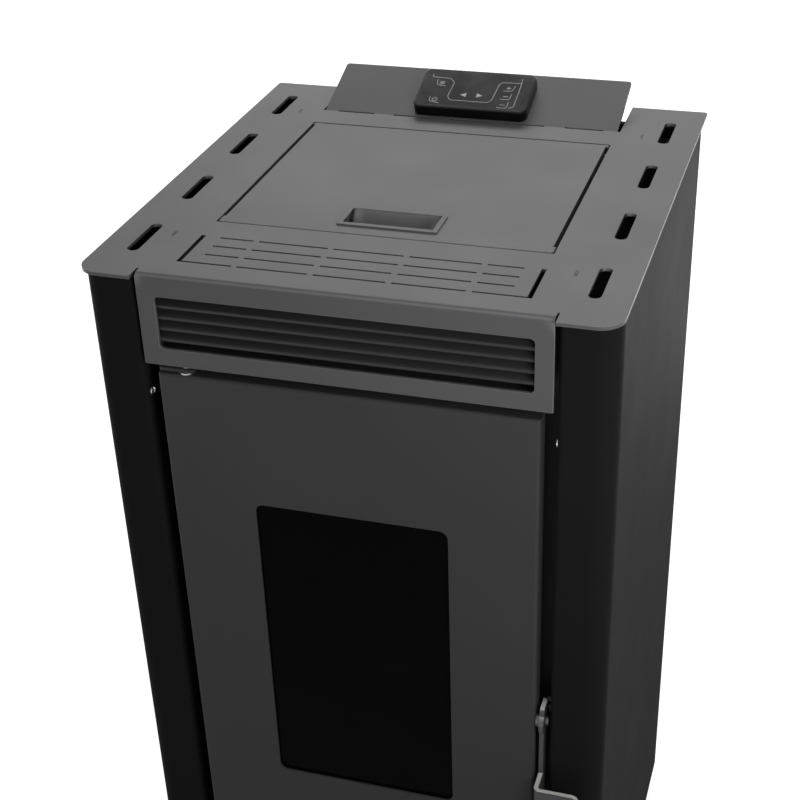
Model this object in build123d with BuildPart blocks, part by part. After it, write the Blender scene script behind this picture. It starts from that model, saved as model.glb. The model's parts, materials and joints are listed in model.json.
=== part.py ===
"""Compact pellet stove: sheet-metal casing, hinged glass door, hopper, auger, burner and fans.

Millimetres, +Z up. X runs across the stove, the front looks towards -Y, and the origin is
on the floor under the middle of the whole stove.
"""

import math
import os

from build123d import *

os.makedirs("parts", exist_ok=True)

# ---------------------------------------------------------------- driving dimensions
# Casing
TOP_Z = 860.0  # upper face of the top plate
TOP_WIDTH = 450.0
TOP_T = 3.0
SIDE_SET_IN = 1.0  # from the edge of the top plate to a side panel
BODY_FRONT = -222.0  # front face of the columns
BODY_REAR = 214.0  # rear flanges of the side panels
FRONT_OVERHANG = 8.0
REAR_OVERHANG = 31.0
TOP_CORNER_R = 20.0
SHEET = 1.5  # side, back and partition sheets
COLUMN_WIDTH = 47.5
COLUMN_R = 18.0
RETURN_R = 4.0
RETURN_DEPTH = 54.0
REAR_FLANGE = 24.0
SHADOW_GAP = 3.0  # between the top plate and the columns
BASE_Z = 30.0
BASE_T = 2.0
FOOT_R = 19.0
FOOT_SIDE_INSET = 34.0
FOOT_INSET = 32.0
FOOT_RIM = 5.0  # height of the pad's edge
FOOT_CONE = 9.0
FOOT_NECK = 12.0
NUT_LAP = 4.5  # nut beyond its stud
NUT_T = 6.0
STUD_PROUD = 14.0
FLOOR_VENT_LENGTH = 86.0
FLOOR_VENT_WIDTH = 5.6
FLOOR_VENT_PITCH = 14.0
FLOOR_VENT_COUNT = 8
SHEET_CORNER_R = 3.0

# Top plate details
WING_SLOT_LENGTH = 56.0
WING_SLOT_WIDTH = 10.6
WING_SLOT_INSET = 30.0
WING_SLOT_PITCH = 112.0
WING_SLOT_COUNT = 4
WING_SLOT_Y = 12.0  # middle of the row
GRILLE_ROW_PITCH = 16.8
GRILLE_ROW_Y = -193.9  # front row
GRILLE_ROWS = 4
GRILLE_SLIT = 2.2
GRILLE_BRIDGE = 5.0
GRILLE_CUTS = 4  # bridges in a row
GRILLE_CELL = 65.7
GRILLE_HALF = 131.0
GRILLE_FRONT_HALF = 145.0
GRILLE_SIDE_SLIT = 4.0
GRILLE_SIDE_LENGTH = 54.0
TAB_LENGTH = 9.0
TAB_CLEARANCE = 0.3
TAB_FRONT_Y = -143.5
TAB_REAR_Y = 166.5
RELIEF = 1.6

# Fascia bent down from the top plate
FACE_Y = -224.0  # face of fascia, door and lower panel
FASCIA_GAP = 3.0  # beside each column
FASCIA_HEIGHT = 82.5
FASCIA_BEND_R = 5.0
WINDOW_SIDE = 15.0
WINDOW_DROP = 19.5
WINDOW_HEIGHT = 47.5
WINDOW_R = 4.0

# Control plate bent up from the top plate
CONTROL_HALF = 148.5
CONTROL_Y = 174.0
CONTROL_LENGTH = 77.5
CONTROL_ANGLE = 19.0
CONTROL_GAP = 2.5
CONTROL_BEND_R = 2.0
PERFORATION_LENGTH = 37.4
PERFORATION_PITCH = 57.9
PERFORATION_COUNT = 5
CABLE_HOLE_R = 9.0
PUNCH = 1.0  # overshoot of a cut through a sheet

# Display
DISPLAY_WIDTH = 115.0
DISPLAY_HEIGHT = 61.0
DISPLAY_DEPTH = 11.0
DISPLAY_START = 3.5
DISPLAY_R = 8.0
DISPLAY_RIM = 7.0
DISPLAY_EDGE_R = 1.5
DISPLAY_FILM = 0.8

# Louvre behind the fascia
BLADE_COUNT = 4
BLADE_PITCH = 10.1
BLADE_FIRST_DROP = 10.5  # below the window's upper edge
BLADE_RISE = 13.0
BLADE_DEPTH = 20.0
BLADE_T = 1.2
BLADE_LIP = 2.4
LOUVRE_MARGIN = 3.5

# Hopper lid
LID_MARGIN = 25.25  # between the lid and a partition
LID_FRONT = -110.5
LID_REAR = 137.0
LID_T = 2.0
LID_GAP = 1.25
LID_REAR_GAP = 2.2
LID_SKIRT = 10.0
LID_SIDE_INSET = 2.5
LID_CORNER_TAB = 12.0
LID_REAR_TAB = 4.0
LID_CORNER_R = 3.0
LID_AXIS_Y = 125.0
LID_AXIS_DROP = 6.5
LID_PIN_R = 2.0
LID_PIN_LENGTH = 8.3
PIN_CLEARANCE = 0.05
PULL_WIDTH = 89.2
PULL_DEPTH = 36.8
PULL_FRONT = -95.7
PULL_PROUD = 1.5
PULL_LIP = 4.6  # flange in front of and beside the pocket
PULL_REAR_LIP = 0.4
PULL_WALL = 1.2
POCKET_DEPTH = 15.0
POCKET_SLANT = 10.5  # forward lean of the pocket's rear wall

# Door
DOOR_SIDE_GAP = 12.7
DOOR_TOP_GAP = 8.2
DOOR_BOTTOM = 222.0
DOOR_DEPTH = 18.0
DOOR_T = 2.0
DOOR_EDGE_R = 3.0
GLASS_HALF = 86.5  # opening in the door panel
GLASS_DROP = 119.8
GLASS_BOTTOM = 341.6
GLASS_R = 8.0
GLASS_LAP = 12.0
GLASS_T = 4.0
GLASS_SEAL = 1.0
GLASS_SEAL_WIDTH = 8.0
CLIP_LENGTH = 22.0
CLIP_T = 1.5
CLIP_LAP = 8.0
CLIP_END = 50.0  # from the opening's upper and lower edges
CLIP_FOOT = 15.0
CLIP_GAP = 1.0
INNER_INSET = 25.8
INNER_DROP = 101.3
INNER_FOOT = 6.0
INNER_BACK = -197.0
INNER_T = 3.0
INNER_FLANGE = 2.0
INNER_HOLE_MARGIN = 13.5
INNER_HOLE_SHIFT = 9.6  # lower than the opening in the panel
ROPE_WIDTH = 10.0
ROPE_SIDE_INSET = 4.0
ROPE_TOP_INSET = 7.0
ROPE_FOOT = 6.0
ROPE_GAP = 0.3
HINGE_INSET = 23.8  # from the door's left edge
HINGE_Y = -216.0
HINGE_PIN_R = 4.0
HINGE_WASHER = 1.4
HINGE_WASHER_R = 7.0
HINGE_PLATE_T = 3.0
HINGE_PLATE_REACH = 9.0  # beyond the pin
HINGE_PIN_PROUD = 2.6
HINGE_PIN_CHAMFER = 0.8
RUNNING_GAP = 0.3

# Latch
LEVER_GAP = 4.0  # from the door's edge
LEVER_T = 4.0
LEVER_TOP = 474.0
LEVER_BEND_R = 6.0
PADDLE_TOP = 399.0
PADDLE_BOTTOM = 338.0
PADDLE_WIDTH = 41.2
PADDLE_FRONT = -248.25
PADDLE_R = 7.0
PIVOT_Z = 456.0
PIVOT_R = 4.0
CATCH_REACH = 17.0  # from the pivot to the catch pin
CATCH_R = 4.0
CATCH_CLEARANCE = 0.4
HOOK_WIDTH = 5.6
HOOK_FOOT = 75.0  # degrees below the catch pin where the hook leaves the lever
HOOK_TIP = 10.0  # degrees above it where the prong ends
HOOK_MOUTH = 55.0
BOLT_HEAD_R = 5.0
BOLT_HEAD = 3.0
SPACER_R = 7.5

# Lower front panel
LOWER_TOP = 212.0
LOWER_BOTTOM = 38.0

# Front frame and firebox
FRAME_Y = -186.0  # front face of the front frame
FRAME_T = 2.0
FRAME_FLANGE = 16.0
FRAME_DROP = 14.0
FRAME_SIDE_GAP = 0.1
FRAME_BEND_R = 2.5
MOUTH_INSET = 10.0
MOUTH_DROP = 5.0
PARTITION_INSET = 4.0  # inside the column's return flange
PARTITION_SLOT_ROWS = 6
PARTITION_SLOT_COLUMNS = 3
FIREBOX_HALF = 128.0
FIREBOX_BOTTOM = 247.0
FIREBOX_DROP = 160.0  # from the top plate to the firebox
FIREBOX_REAR = -24.0
FIREBOX_SHELF_DROP = 50.0
FIREBOX_SHELF_Y = -150.0
FIREBOX_WALL = 3.0
TUBE_R = 15.0
TUBE_WALL = 2.0
TUBE_COUNT = 7
TUBE_PITCH = 34.0
TUBE_DROP = 28.0
TUBE_PROUD = 2.0
WELD_GAP = 0.05
DUCT_INSET = 2.0
DUCT_WALL = 1.2
DUCT_DROP = 10.0
LINER_T = 10.0
LINER_DROP = 14.0
LINER_FIT = 0.5
LINER_FRONT_GAP = 4.0
LINER_GROOVES = 7
LINER_GROOVE_WIDTH = 14.0
LINER_GROOVE_DEPTH = 4.0
LINER_GROOVE_END = 20.0
BAFFLE_T = 6.0
BAFFLE_DEPTH = 92.0
BAFFLE_NOTCH = 12.0

# Burner
HOLDER_HALF = 60.0
HOLDER_FRONT = -137.0
HOLDER_BOTTOM = 292.0
HOLDER_TOP = 358.0
HOLDER_WALL = 3.0
POT_HALF = 37.5
POT_Y = -95.0
POT_HALF_DEPTH = 31.0
POT_DEPTH = 60.0
POT_WALL = 4.0
POT_RIM = 8.5
POT_RIM_T = 4.0
POT_CLEARANCE = 1.0
POT_CORNER_R = 8.0
POT_HOLE_R = 2.2
POT_HOLE_PITCH = 14.0
POT_TAPER = 4.0
ASH_SIDE_GAP = 7.0
ASH_FRONT = -170.0
ASH_REAR = -38.0
ASH_HEIGHT = 34.0
ASH_WALL = 1.5
ASH_GRIP_HALF = 30.0
ASH_GRIP_DEPTH = 9.0
ASH_GRIP_HEIGHT = 10.0
ASH_GRIP_T = 2.0
IGNITER_X = 9.0
IGNITER_Z = 324.0
IGNITER_R = 5.0
IGNITER_TAIL = 30.0
INTAKE_X = -25.0
INTAKE_Z = 320.0
INTAKE_R = 20.0
INTAKE_REAR = 240.0
PIPE_WALL = 1.5
PIPE_STEP = 0.6  # a pipe is this much slimmer inside the back panel
PIPE_STEP_GAP = 0.5

# Fuel feed
HOPPER_T = 1.5
HOPPER_RIM_DROP = 11.0
HOPPER_SIDE_INSET = 6.75  # from the lid's edge
HOPPER_FRONT_INSET = 3.7
HOPPER_BACK_INSET = 21.0
HOPPER_WING_FRONT = -53.4
HOPPER_WING_BACK = 86.0
HOPPER_WING_T = 2.0
SEAL_WIDTH = 3.0
SEAL_GAP = 0.3
SHOULDER_DROP = 48.0
WAIST_DROP = 160.0
WAIST_HALF = 115.0
WAIST_FRONT = 20.0
NECK_HALF = 34.0
NECK_FRONT = 62.0
NECK_Z = 548.0
ROD_R = 2.0
ROD_COUNT = 10
BRACKET_LENGTH = 20.0
BRACKET_DROP = 8.0
BRACKET_GAP = 1.0  # outside the hole for the lid
AUGER_Y = 150.0
AUGER_Z = 452.0
AUGER_ANGLE = 30.0
AUGER_LENGTH = 165.0
AUGER_TUBE_R = 31.0
AUGER_R = 28.0
AUGER_SHAFT_R = 8.0
AUGER_PITCH = 38.0
AUGER_FLIGHT = 3.0
AUGER_TURNS = 3.25
AUGER_END_GAP = 6.0
TUBE_FLANGE_R = 40.0
TUBE_FLANGE_T = 4.0
GEARBOX_HALF = 34.0
GEARBOX_DEPTH = 28.0
GEARBOX_R = 6.0
GEARMOTOR_R = 24.0
GEARMOTOR_LENGTH = 27.0
CHUTE_R = 24.0
CHUTE_ANGLE = 40.0
CHUTE_START = 125.0  # along the auger
CHUTE_LENGTH = 125.0

# Room-air blower
RISER_GAP = 2.5  # from the left partition
RISER_WIDTH = 120.0
RISER_DEPTH = 18.0
RISER_BOTTOM = 60.0
MANIFOLD_RISE = 5.0
BLOWER_Y = -80.0
BLOWER_Z = 112.0
BLOWER_MARGIN = 2.0  # inside the riser's sides
BLOWER_FOOT_HALF = 30.0
BLOWER_CASE_R = 46.0
WHEEL_R = 30.0
WHEEL_BLADES = 20
WHEEL_END_GAP = 5.0  # between wheel and case
WHEEL_BLADE_LENGTH = 8.0
WHEEL_BLADE_T = 1.0
WHEEL_BLADE_ANGLE = 25.0
WHEEL_EDGE = 0.5
TONGUE_GAP = 4.0  # scroll's tongue to the wheel
TONGUE_RISE = 10.0
TONGUE_R = 2.0
OUTLET_INSET = 4.0
SHAFT_R = 4.0
SHAFT_STUB = 4.0  # beyond the case on the free side
SHAFT_REACH = 30.0  # into the motor
SHAFT_END_GAP = 2.0
MOTOR_R = 30.0
MOTOR_LENGTH = 56.0
MOTOR_FLANGE = 3.0
MOTOR_FLANGE_R = 6.0

# Exhaust fan
EXHAUST_INSET = 77.5  # from the right partition
EXHAUST_Z = 290.0
THROAT_DROP = 97.0
EXHAUST_R = 62.0
EXHAUST_DEPTH = 40.0
EXHAUST_WALL = 2.0
EXHAUST_INLET_R = 30.0
EXHAUST_WHEEL_R = 48.0
EXHAUST_BLADES = 8
EXHAUST_BLADE_DEPTH = 18.0
EXHAUST_BLADE_T = 2.0
EXHAUST_BLADE_ANGLE = 18.0
EXHAUST_BLADE_INSET = 9.0
EXHAUST_DISC_T = 1.5
EXHAUST_HUB_R = 10.0
EXHAUST_HUB_DEPTH = 20.0
EXHAUST_SHAFT_TAIL = 5.0  # in front of the disc
EXHAUST_THROAT = 40.0
FLUE_INSET = 47.5
FLUE_R = 40.0
FLUE_BOX = 84.0
FLUE_REAR = 246.0
FLUE_WALL = 1.5

# Small fittings
SCREW_R = 2.0
SCREW_HEAD_R = 4.2
SCREW_HEAD = 2.0
SIDE_SCREW_Y = -213.0
SIDE_SCREW_INSET = 24.3  # from the door's upper and lower edges
BACK_INSET = 12.0
BACK_DROP = 10.0
BACK_BOTTOM = 36.0
BACK_SCREW_INSET = 7.0
BACK_SCREW_END = 22.0
BACK_SCREW_ROWS = 4
VENT_X = 115.0
VENT_DROP = 220.0
VENT_LENGTH = 100.0
VENT_WIDTH = 7.0
VENT_PITCH = 18.0
VENT_COUNT = 9
SERVICE_INSET = 32.5  # power inlet and thermostat, from the left partition
INLET_Z = 110.0
INLET_WIDTH = 28.0
INLET_HEIGHT = 48.0
INLET_DEPTH = 26.0
THERMOSTAT_Z = 170.0
THERMOSTAT_R = 8.0
THERMOSTAT_RIM = 4.0
THERMOSTAT_CAP = 7.0
THERMOSTAT_DEPTH = 22.0
THERMOSTAT_EDGE_R = 2.0
INLET_RIM = 4.0  # bezel beside its hole
INLET_RIM_END = 6.0
INLET_BEZEL_T = 2.0
INLET_WALL = 3.0
SOCKET_DROP = 9.0
SOCKET_HEIGHT = 18.0
SOCKET_CORNER_R = 5.0
SOCKET_FLOOR = 8.0
PIN_PITCH = 7.0
PIN_WIDTH = 2.0
PIN_HEIGHT = 6.0
PIN_END_GAP = 10.0
ROCKER_RISE = 13.0
ROCKER_HEIGHT = 14.0
ROCKER_PROUD = 3.0
ROCKER_TAPER = 20.0
BOARD_WIDTH = 120.0
BOARD_HEIGHT = 150.0
BOARD_T = 1.6
BOARD_Y = 80.0
BOARD_Z = 560.0
BOARD_STANDOFF = 8.0
STANDOFF_R = 3.5
STANDOFF_INSET = 6.0
TRANSFORMER = (-30.0, 45.0)  # from the middle of the board
TRANSFORMER_WIDTH = 42.0
TRANSFORMER_HEIGHT = 36.0
TRANSFORMER_DEPTH = 24.0
RELAYS = (25.0, 25.0)
RELAY_WIDTH = 16.0
RELAY_LENGTH = 26.0
RELAY_PITCH = 24.0
RELAY_ROW_PITCH = 32.0
RELAY_DEPTH = 16.0
CAPACITORS = (-32.0, -8.0)
CAPACITOR_R = 8.0
CAPACITOR_PITCH = 20.0
CAPACITOR_ROW_PITCH = 22.0
CAPACITOR_DEPTH = 20.0
TERMINAL_COUNT = 10
TERMINAL_PITCH = 10.0
TERMINAL_WIDTH = 9.0
TERMINAL_DEPTH = 12.0
SWITCH_R = 26.0
SWITCH_Y = 60.0
SWITCH_Z = 380.0
SWITCH_SEAT_STEP = 4.0
SWITCH_CAP_STEP = 8.0
SWITCH_SEAT_T = 6.0
SWITCH_BODY_T = 12.0
SWITCH_CAP_T = 6.0
NIPPLE_X = 9.0
NIPPLE_R = 3.0
NIPPLE_LENGTH = 12.0

# ---------------------------------------------------------------- values that follow
TOP_FRONT = BODY_FRONT - FRONT_OVERHANG
TOP_REAR = BODY_REAR + REAR_OVERHANG
TOP_UNDER = TOP_Z - TOP_T
BODY_HALF = TOP_WIDTH / 2 - SIDE_SET_IN  # outer face of a side panel
COLUMN_X = BODY_HALF - COLUMN_WIDTH  # face of the return flange, beside the door
PARTITION_X = COLUMN_X - PARTITION_INSET
LID_WIDTH = 2 * (PARTITION_X - LID_MARGIN)
SIDE_TOP = TOP_UNDER - SHADOW_GAP
DECK_Z = BASE_Z + BASE_T  # everything upright stands on the base plate
FOOT_X = BODY_HALF - FOOT_SIDE_INSET
FASCIA_HALF = COLUMN_X - FASCIA_GAP
FASCIA_BOTTOM = TOP_Z - FASCIA_HEIGHT
WINDOW_HALF = FASCIA_HALF - WINDOW_SIDE
WINDOW_TOP = TOP_Z - WINDOW_DROP
WINDOW_BOTTOM = WINDOW_TOP - WINDOW_HEIGHT
BLADE_FIRST_Z = WINDOW_TOP - BLADE_FIRST_DROP
DOOR_HALF = COLUMN_X - DOOR_SIDE_GAP
DOOR_TOP = FASCIA_BOTTOM - DOOR_TOP_GAP
GLASS_TOP = DOOR_TOP - GLASS_DROP
INNER_HALF = DOOR_HALF - INNER_INSET
INNER_TOP = DOOR_TOP - INNER_DROP
INNER_BOTTOM = DOOR_BOTTOM + INNER_FOOT
INNER_HOLE_HALF = GLASS_HALF + INNER_HOLE_MARGIN
INNER_HOLE_TOP = GLASS_TOP - INNER_HOLE_SHIFT
INNER_HOLE_BOTTOM = GLASS_BOTTOM - INNER_HOLE_SHIFT
ROPE_OUTER_HALF = INNER_HALF - ROPE_SIDE_INSET
ROPE_TOP = INNER_TOP - ROPE_TOP_INSET
ROPE_BOTTOM = INNER_BOTTOM + ROPE_FOOT
HINGE_X = HINGE_INSET - DOOR_HALF
LEVER_X = DOOR_HALF + LEVER_GAP
PADDLE_RIGHT = LEVER_X + PADDLE_WIDTH
SIDE_SCREW_Z = (DOOR_TOP - SIDE_SCREW_INSET, DOOR_BOTTOM + SIDE_SCREW_INSET)
FRAME_BACK = FRAME_Y + FRAME_T
FRAME_TOP = TOP_Z - FRAME_DROP
FIREBOX_TOP = TOP_Z - FIREBOX_DROP
FIREBOX_SHELF_Z = FIREBOX_TOP - FIREBOX_SHELF_DROP
MOUTH_HALF = FIREBOX_HALF - MOUTH_INSET
MOUTH_TOP = FIREBOX_SHELF_Z - MOUTH_DROP
MOUTH_BOTTOM = FIREBOX_BOTTOM + FIREBOX_WALL
TUBE_Z = FIREBOX_TOP - TUBE_DROP
DUCT_HALF = FIREBOX_HALF - DUCT_INSET
ASH_HALF = FIREBOX_HALF - FIREBOX_WALL - LINER_T - ASH_SIDE_GAP
DUCT_TOP = TOP_Z - DUCT_DROP
LINER_TOP = FIREBOX_SHELF_Z - LINER_DROP
MANIFOLD_Z = FIREBOX_SHELF_Z + MANIFOLD_RISE
HOPPER_RIM = TOP_Z - HOPPER_RIM_DROP
SHOULDER_Z = TOP_Z - SHOULDER_DROP
WAIST_Z = TOP_Z - WAIST_DROP
HOPPER_HALF = LID_WIDTH / 2 - HOPPER_SIDE_INSET
HOPPER_FRONT = LID_FRONT + HOPPER_FRONT_INSET
HOPPER_BACK = LID_REAR - HOPPER_BACK_INSET
RISER_LEFT = RISER_GAP - PARTITION_X
RISER_RIGHT = RISER_LEFT + RISER_WIDTH
BLOWER_LEFT = RISER_LEFT + BLOWER_MARGIN
BLOWER_RIGHT = RISER_RIGHT - BLOWER_MARGIN
EXHAUST_X = PARTITION_X - EXHAUST_INSET
FLUE_X = PARTITION_X - FLUE_INSET
BACK_HALF = BODY_HALF - BACK_INSET
BACK_TOP = TOP_Z - BACK_DROP
VENT_Z = TOP_Z - VENT_DROP
SERVICE_X = SERVICE_INSET - PARTITION_X
PANEL_OUT = BODY_REAR + SHEET  # outer face of the back panel
LID_AXIS_Z = TOP_Z - LID_AXIS_DROP
SLOPE = math.radians(CONTROL_ANGLE)
AUGER_DIR = Vector(0, -math.cos(math.radians(AUGER_ANGLE)), math.sin(math.radians(AUGER_ANGLE)))
CHUTE_DIR = Vector(0, -math.cos(math.radians(CHUTE_ANGLE)), -math.sin(math.radians(CHUTE_ANGLE)))
FIREBOX_INNER_REAR = FIREBOX_REAR - FIREBOX_WALL
GLASS_PLATE_HALF = GLASS_HALF + GLASS_LAP
THROAT_LOW = EXHAUST_Z - THROAT_DROP
FLUE_Z = THROAT_LOW - FLUE_BOX / 2
PULL_BACK = PULL_FRONT + PULL_DEPTH
POCKET_FRONT = PULL_FRONT + PULL_LIP
POCKET_BACK = PULL_BACK - PULL_WALL - TAB_CLEARANCE - PULL_REAR_LIP
POCKET_LOW = TOP_Z - POCKET_DEPTH


# ---------------------------------------------------------------- shared forms
def front_plane(y):
    """Upright plane at depth y; a positive extrusion comes towards the front."""
    return Plane.XZ.offset(-y)


def side_plane(x):
    """Upright plane across the stove at x; a positive extrusion goes towards +X."""
    return Plane.YZ.offset(x)


def level(z):
    """Horizontal plane at height z."""
    return Plane.XY.offset(z)


def span(x0, x1, y0, y1, mode=Mode.ADD):
    """Rectangle between two corners of the sketch plane."""
    with Locations(((x0 + x1) / 2, (y0 + y1) / 2)):
        Rectangle(x1 - x0, y1 - y0, mode=mode)


def block(x, y, z, mode=Mode.ADD):
    """Box between two corners, each given as a pair of limits."""
    with BuildSketch(level(z[0])) as footprint:
        span(x[0], x[1], y[0], y[1])
    extrude(footprint.sketch, amount=z[1] - z[0], mode=mode)


def folded(points, bends, thickness, side):
    """Section of a folded sheet: its outer line, rounded at the bends and thickened to one side."""
    with BuildLine() as outline:
        FilletPolyline(*points, radius=bends)
        offset(amount=thickness, side=side)
    make_face(outline.edges())


def frame_ring(outer_half, inner_half, outer_z, inner_z, outer_r, inner_r):
    """Rounded rectangular ring on an upright plane."""
    with Locations((0, (outer_z[0] + outer_z[1]) / 2)):
        RectangleRounded(2 * outer_half, outer_z[1] - outer_z[0], outer_r)
    with Locations((0, (inner_z[0] + inner_z[1]) / 2)):
        RectangleRounded(2 * inner_half, inner_z[1] - inner_z[0], inner_r, mode=Mode.SUBTRACT)


def ring_sector(centre, inner, outer, start, sweep, mode=Mode.ADD):
    """Part of a ring between two radii, from a start angle over a sweep in degrees."""
    with BuildLine() as outline:
        rim = CenterArc(centre, outer, start, sweep)
        bore = CenterArc(centre, inner, start, sweep)
        Line(rim @ 0, bore @ 0)
        Line(rim @ 1, bore @ 1)
    make_face(outline.edges(), mode=mode)


def along_auger(distance):
    """Plane square to the auger at a distance from its lower end."""
    start = Vector(0, AUGER_Y, AUGER_Z)
    return Plane(origin=start + AUGER_DIR * distance, x_dir=(1, 0, 0), z_dir=AUGER_DIR)


def chute_plane(distance):
    """Plane square to the pellet chute at a distance from the auger's axis."""
    start = Vector(0, AUGER_Y, AUGER_Z) + AUGER_DIR * CHUTE_START
    return Plane(origin=start + CHUTE_DIR * distance, x_dir=(1, 0, 0), z_dir=CHUTE_DIR)


def control_plane(lift=0.0):
    """Upper face of the sloping control plate, with its origin on the bend line."""
    normal = Vector(0, -math.sin(SLOPE), math.cos(SLOPE))
    origin = Vector(0, CONTROL_Y, TOP_Z) + normal * lift
    return Plane(origin=origin, x_dir=(1, 0, 0), z_dir=normal)


def tube_centres():
    """Places of the heat-exchanger tubes on an upright plane."""
    return Locations(*[((i - (TUBE_COUNT - 1) / 2) * TUBE_PITCH, TUBE_Z) for i in range(TUBE_COUNT)])


def stepped_pipe(centre, radius, rear, front):
    """Pipe along Y whose full radius is the spigot outside the back panel; a push-fit part stops there."""
    bore = radius - PIPE_STEP - PIPE_WALL
    step_y = PANEL_OUT + PIPE_STEP_GAP
    for start, end, outer in ((rear, step_y, radius), (step_y, front, radius - PIPE_STEP)):
        with BuildSketch(front_plane(start)) as ring:
            with Locations(centre):
                Circle(outer)
                Circle(bore, mode=Mode.SUBTRACT)
        extrude(ring.sketch, amount=start - end)


def save(builder, label):
    """Label a finished piece and write its file."""
    builder.part.label = label
    export_step(builder.part, f"parts/{label}.step")


# ---------------------------------------------------------------- casing
with BuildPart() as top_plate:
    with BuildSketch(level(TOP_UNDER)):
        span(-TOP_WIDTH / 2, TOP_WIDTH / 2, TOP_FRONT, TOP_REAR)
        fillet(vertices().group_by(Axis.Y)[0], TOP_CORNER_R)
        fillet(vertices().group_by(Axis.Y)[-1], SHEET_CORNER_R)
        span(-FASCIA_HALF - RELIEF, FASCIA_HALF + RELIEF, TOP_FRONT, FACE_Y + 2 * FASCIA_BEND_R,
             mode=Mode.SUBTRACT)
        span(-CONTROL_HALF - CONTROL_GAP, CONTROL_HALF + CONTROL_GAP, CONTROL_Y, TOP_REAR,
             mode=Mode.SUBTRACT)
        span(-LID_WIDTH / 2 - LID_GAP, LID_WIDTH / 2 + LID_GAP, LID_FRONT - LID_GAP,
             LID_REAR + LID_REAR_GAP, mode=Mode.SUBTRACT)
        wing_slot_x = TOP_WIDTH / 2 - WING_SLOT_INSET
        with Locations((-wing_slot_x, WING_SLOT_Y), (wing_slot_x, WING_SLOT_Y)):
            with GridLocations(0, WING_SLOT_PITCH, 1, WING_SLOT_COUNT):
                SlotOverall(WING_SLOT_LENGTH, WING_SLOT_WIDTH, rotation=90, mode=Mode.SUBTRACT)
        tab_x = PARTITION_X + SHEET / 2
        with Locations(*[(x, y) for x in (-tab_x, tab_x) for y in (TAB_FRONT_Y, TAB_REAR_Y)]):
            Rectangle(SHEET + 2 * TAB_CLEARANCE, TAB_LENGTH + 2 * TAB_CLEARANCE, mode=Mode.SUBTRACT)
        # Grille: rows of slits, broken by narrow bridges; the front row is longer
        for row in range(GRILLE_ROWS):
            row_y = GRILLE_ROW_Y + row * GRILLE_ROW_PITCH
            row_half = GRILLE_FRONT_HALF if row == 0 else GRILLE_HALF
            cuts = [GRILLE_CELL * (i - (GRILLE_CUTS - 1) / 2) for i in range(GRILLE_CUTS)]
            starts = [-row_half] + [x + GRILLE_BRIDGE / 2 for x in cuts]
            ends = [x - GRILLE_BRIDGE / 2 for x in cuts] + [row_half]
            for start, end in zip(starts, ends):
                span(start, end, row_y - GRILLE_SLIT / 2, row_y + GRILLE_SLIT / 2, mode=Mode.SUBTRACT)
        for side in (-1, 1):
            with Locations((side * (GRILLE_FRONT_HALF + GRILLE_SIDE_SLIT / 2),
                            GRILLE_ROW_Y - GRILLE_SLIT / 2 + GRILLE_SIDE_LENGTH / 2)):
                Rectangle(GRILLE_SIDE_SLIT, GRILLE_SIDE_LENGTH, mode=Mode.SUBTRACT)
    extrude(amount=TOP_T)
    with BuildSketch(side_plane(-FASCIA_HALF)):
        folded([(FACE_Y + 2 * FASCIA_BEND_R, TOP_Z), (FACE_Y, TOP_Z), (FACE_Y, FASCIA_BOTTOM)],
               FASCIA_BEND_R, TOP_T, Side.LEFT)
    extrude(amount=2 * FASCIA_HALF)
    with BuildSketch(front_plane(FACE_Y + TOP_T + PUNCH)):
        with Locations((0, (WINDOW_TOP + WINDOW_BOTTOM) / 2)):
            RectangleRounded(2 * WINDOW_HALF, WINDOW_TOP - WINDOW_BOTTOM, WINDOW_R)
    extrude(amount=TOP_T + 2 * PUNCH, mode=Mode.SUBTRACT)
    control_tip = (CONTROL_Y + CONTROL_LENGTH * math.cos(SLOPE),
                   TOP_Z + CONTROL_LENGTH * math.sin(SLOPE))
    with BuildSketch(side_plane(-CONTROL_HALF)):
        folded([(CONTROL_Y - 2 * TOP_T, TOP_Z), (CONTROL_Y, TOP_Z), control_tip],
               CONTROL_BEND_R, TOP_T, Side.RIGHT)
    extrude(amount=2 * CONTROL_HALF)
    tip_edges = [e for e in edges() if abs(e.length - TOP_T) < 0.01 and e.center().Y > TOP_REAR]
    fillet(tip_edges, SHEET_CORNER_R)
    with BuildSketch(level(TOP_Z + TOP_T)):
        with Locations((0, CONTROL_Y)):
            with GridLocations(PERFORATION_PITCH, 0, PERFORATION_COUNT, 1):
                Rectangle(PERFORATION_LENGTH, GRILLE_SLIT)
    extrude(amount=-3 * TOP_T, mode=Mode.SUBTRACT)
    with BuildSketch(control_plane(TOP_T)):
        with Locations((0, DISPLAY_START + DISPLAY_HEIGHT / 2)):
            Circle(CABLE_HOLE_R)
    extrude(amount=-3 * TOP_T, mode=Mode.SUBTRACT)
save(top_plate, "top_plate")

with BuildPart() as display_housing:
    with BuildSketch(control_plane()):
        with Locations((0, DISPLAY_START + DISPLAY_HEIGHT / 2)):
            RectangleRounded(DISPLAY_WIDTH, DISPLAY_HEIGHT, DISPLAY_R)
    extrude(amount=DISPLAY_DEPTH)
    fillet(faces().sort_by(Axis(control_plane().origin, control_plane().z_dir))[-1].edges(),
           DISPLAY_EDGE_R)
    with BuildSketch(control_plane(DISPLAY_DEPTH)):
        with Locations((0, DISPLAY_START + DISPLAY_HEIGHT / 2)):
            RectangleRounded(DISPLAY_WIDTH - 2 * DISPLAY_RIM, DISPLAY_HEIGHT - DISPLAY_RIM, DISPLAY_R / 4)
    extrude(amount=-DISPLAY_FILM, mode=Mode.SUBTRACT)
save(display_housing, "display_housing")

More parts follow.
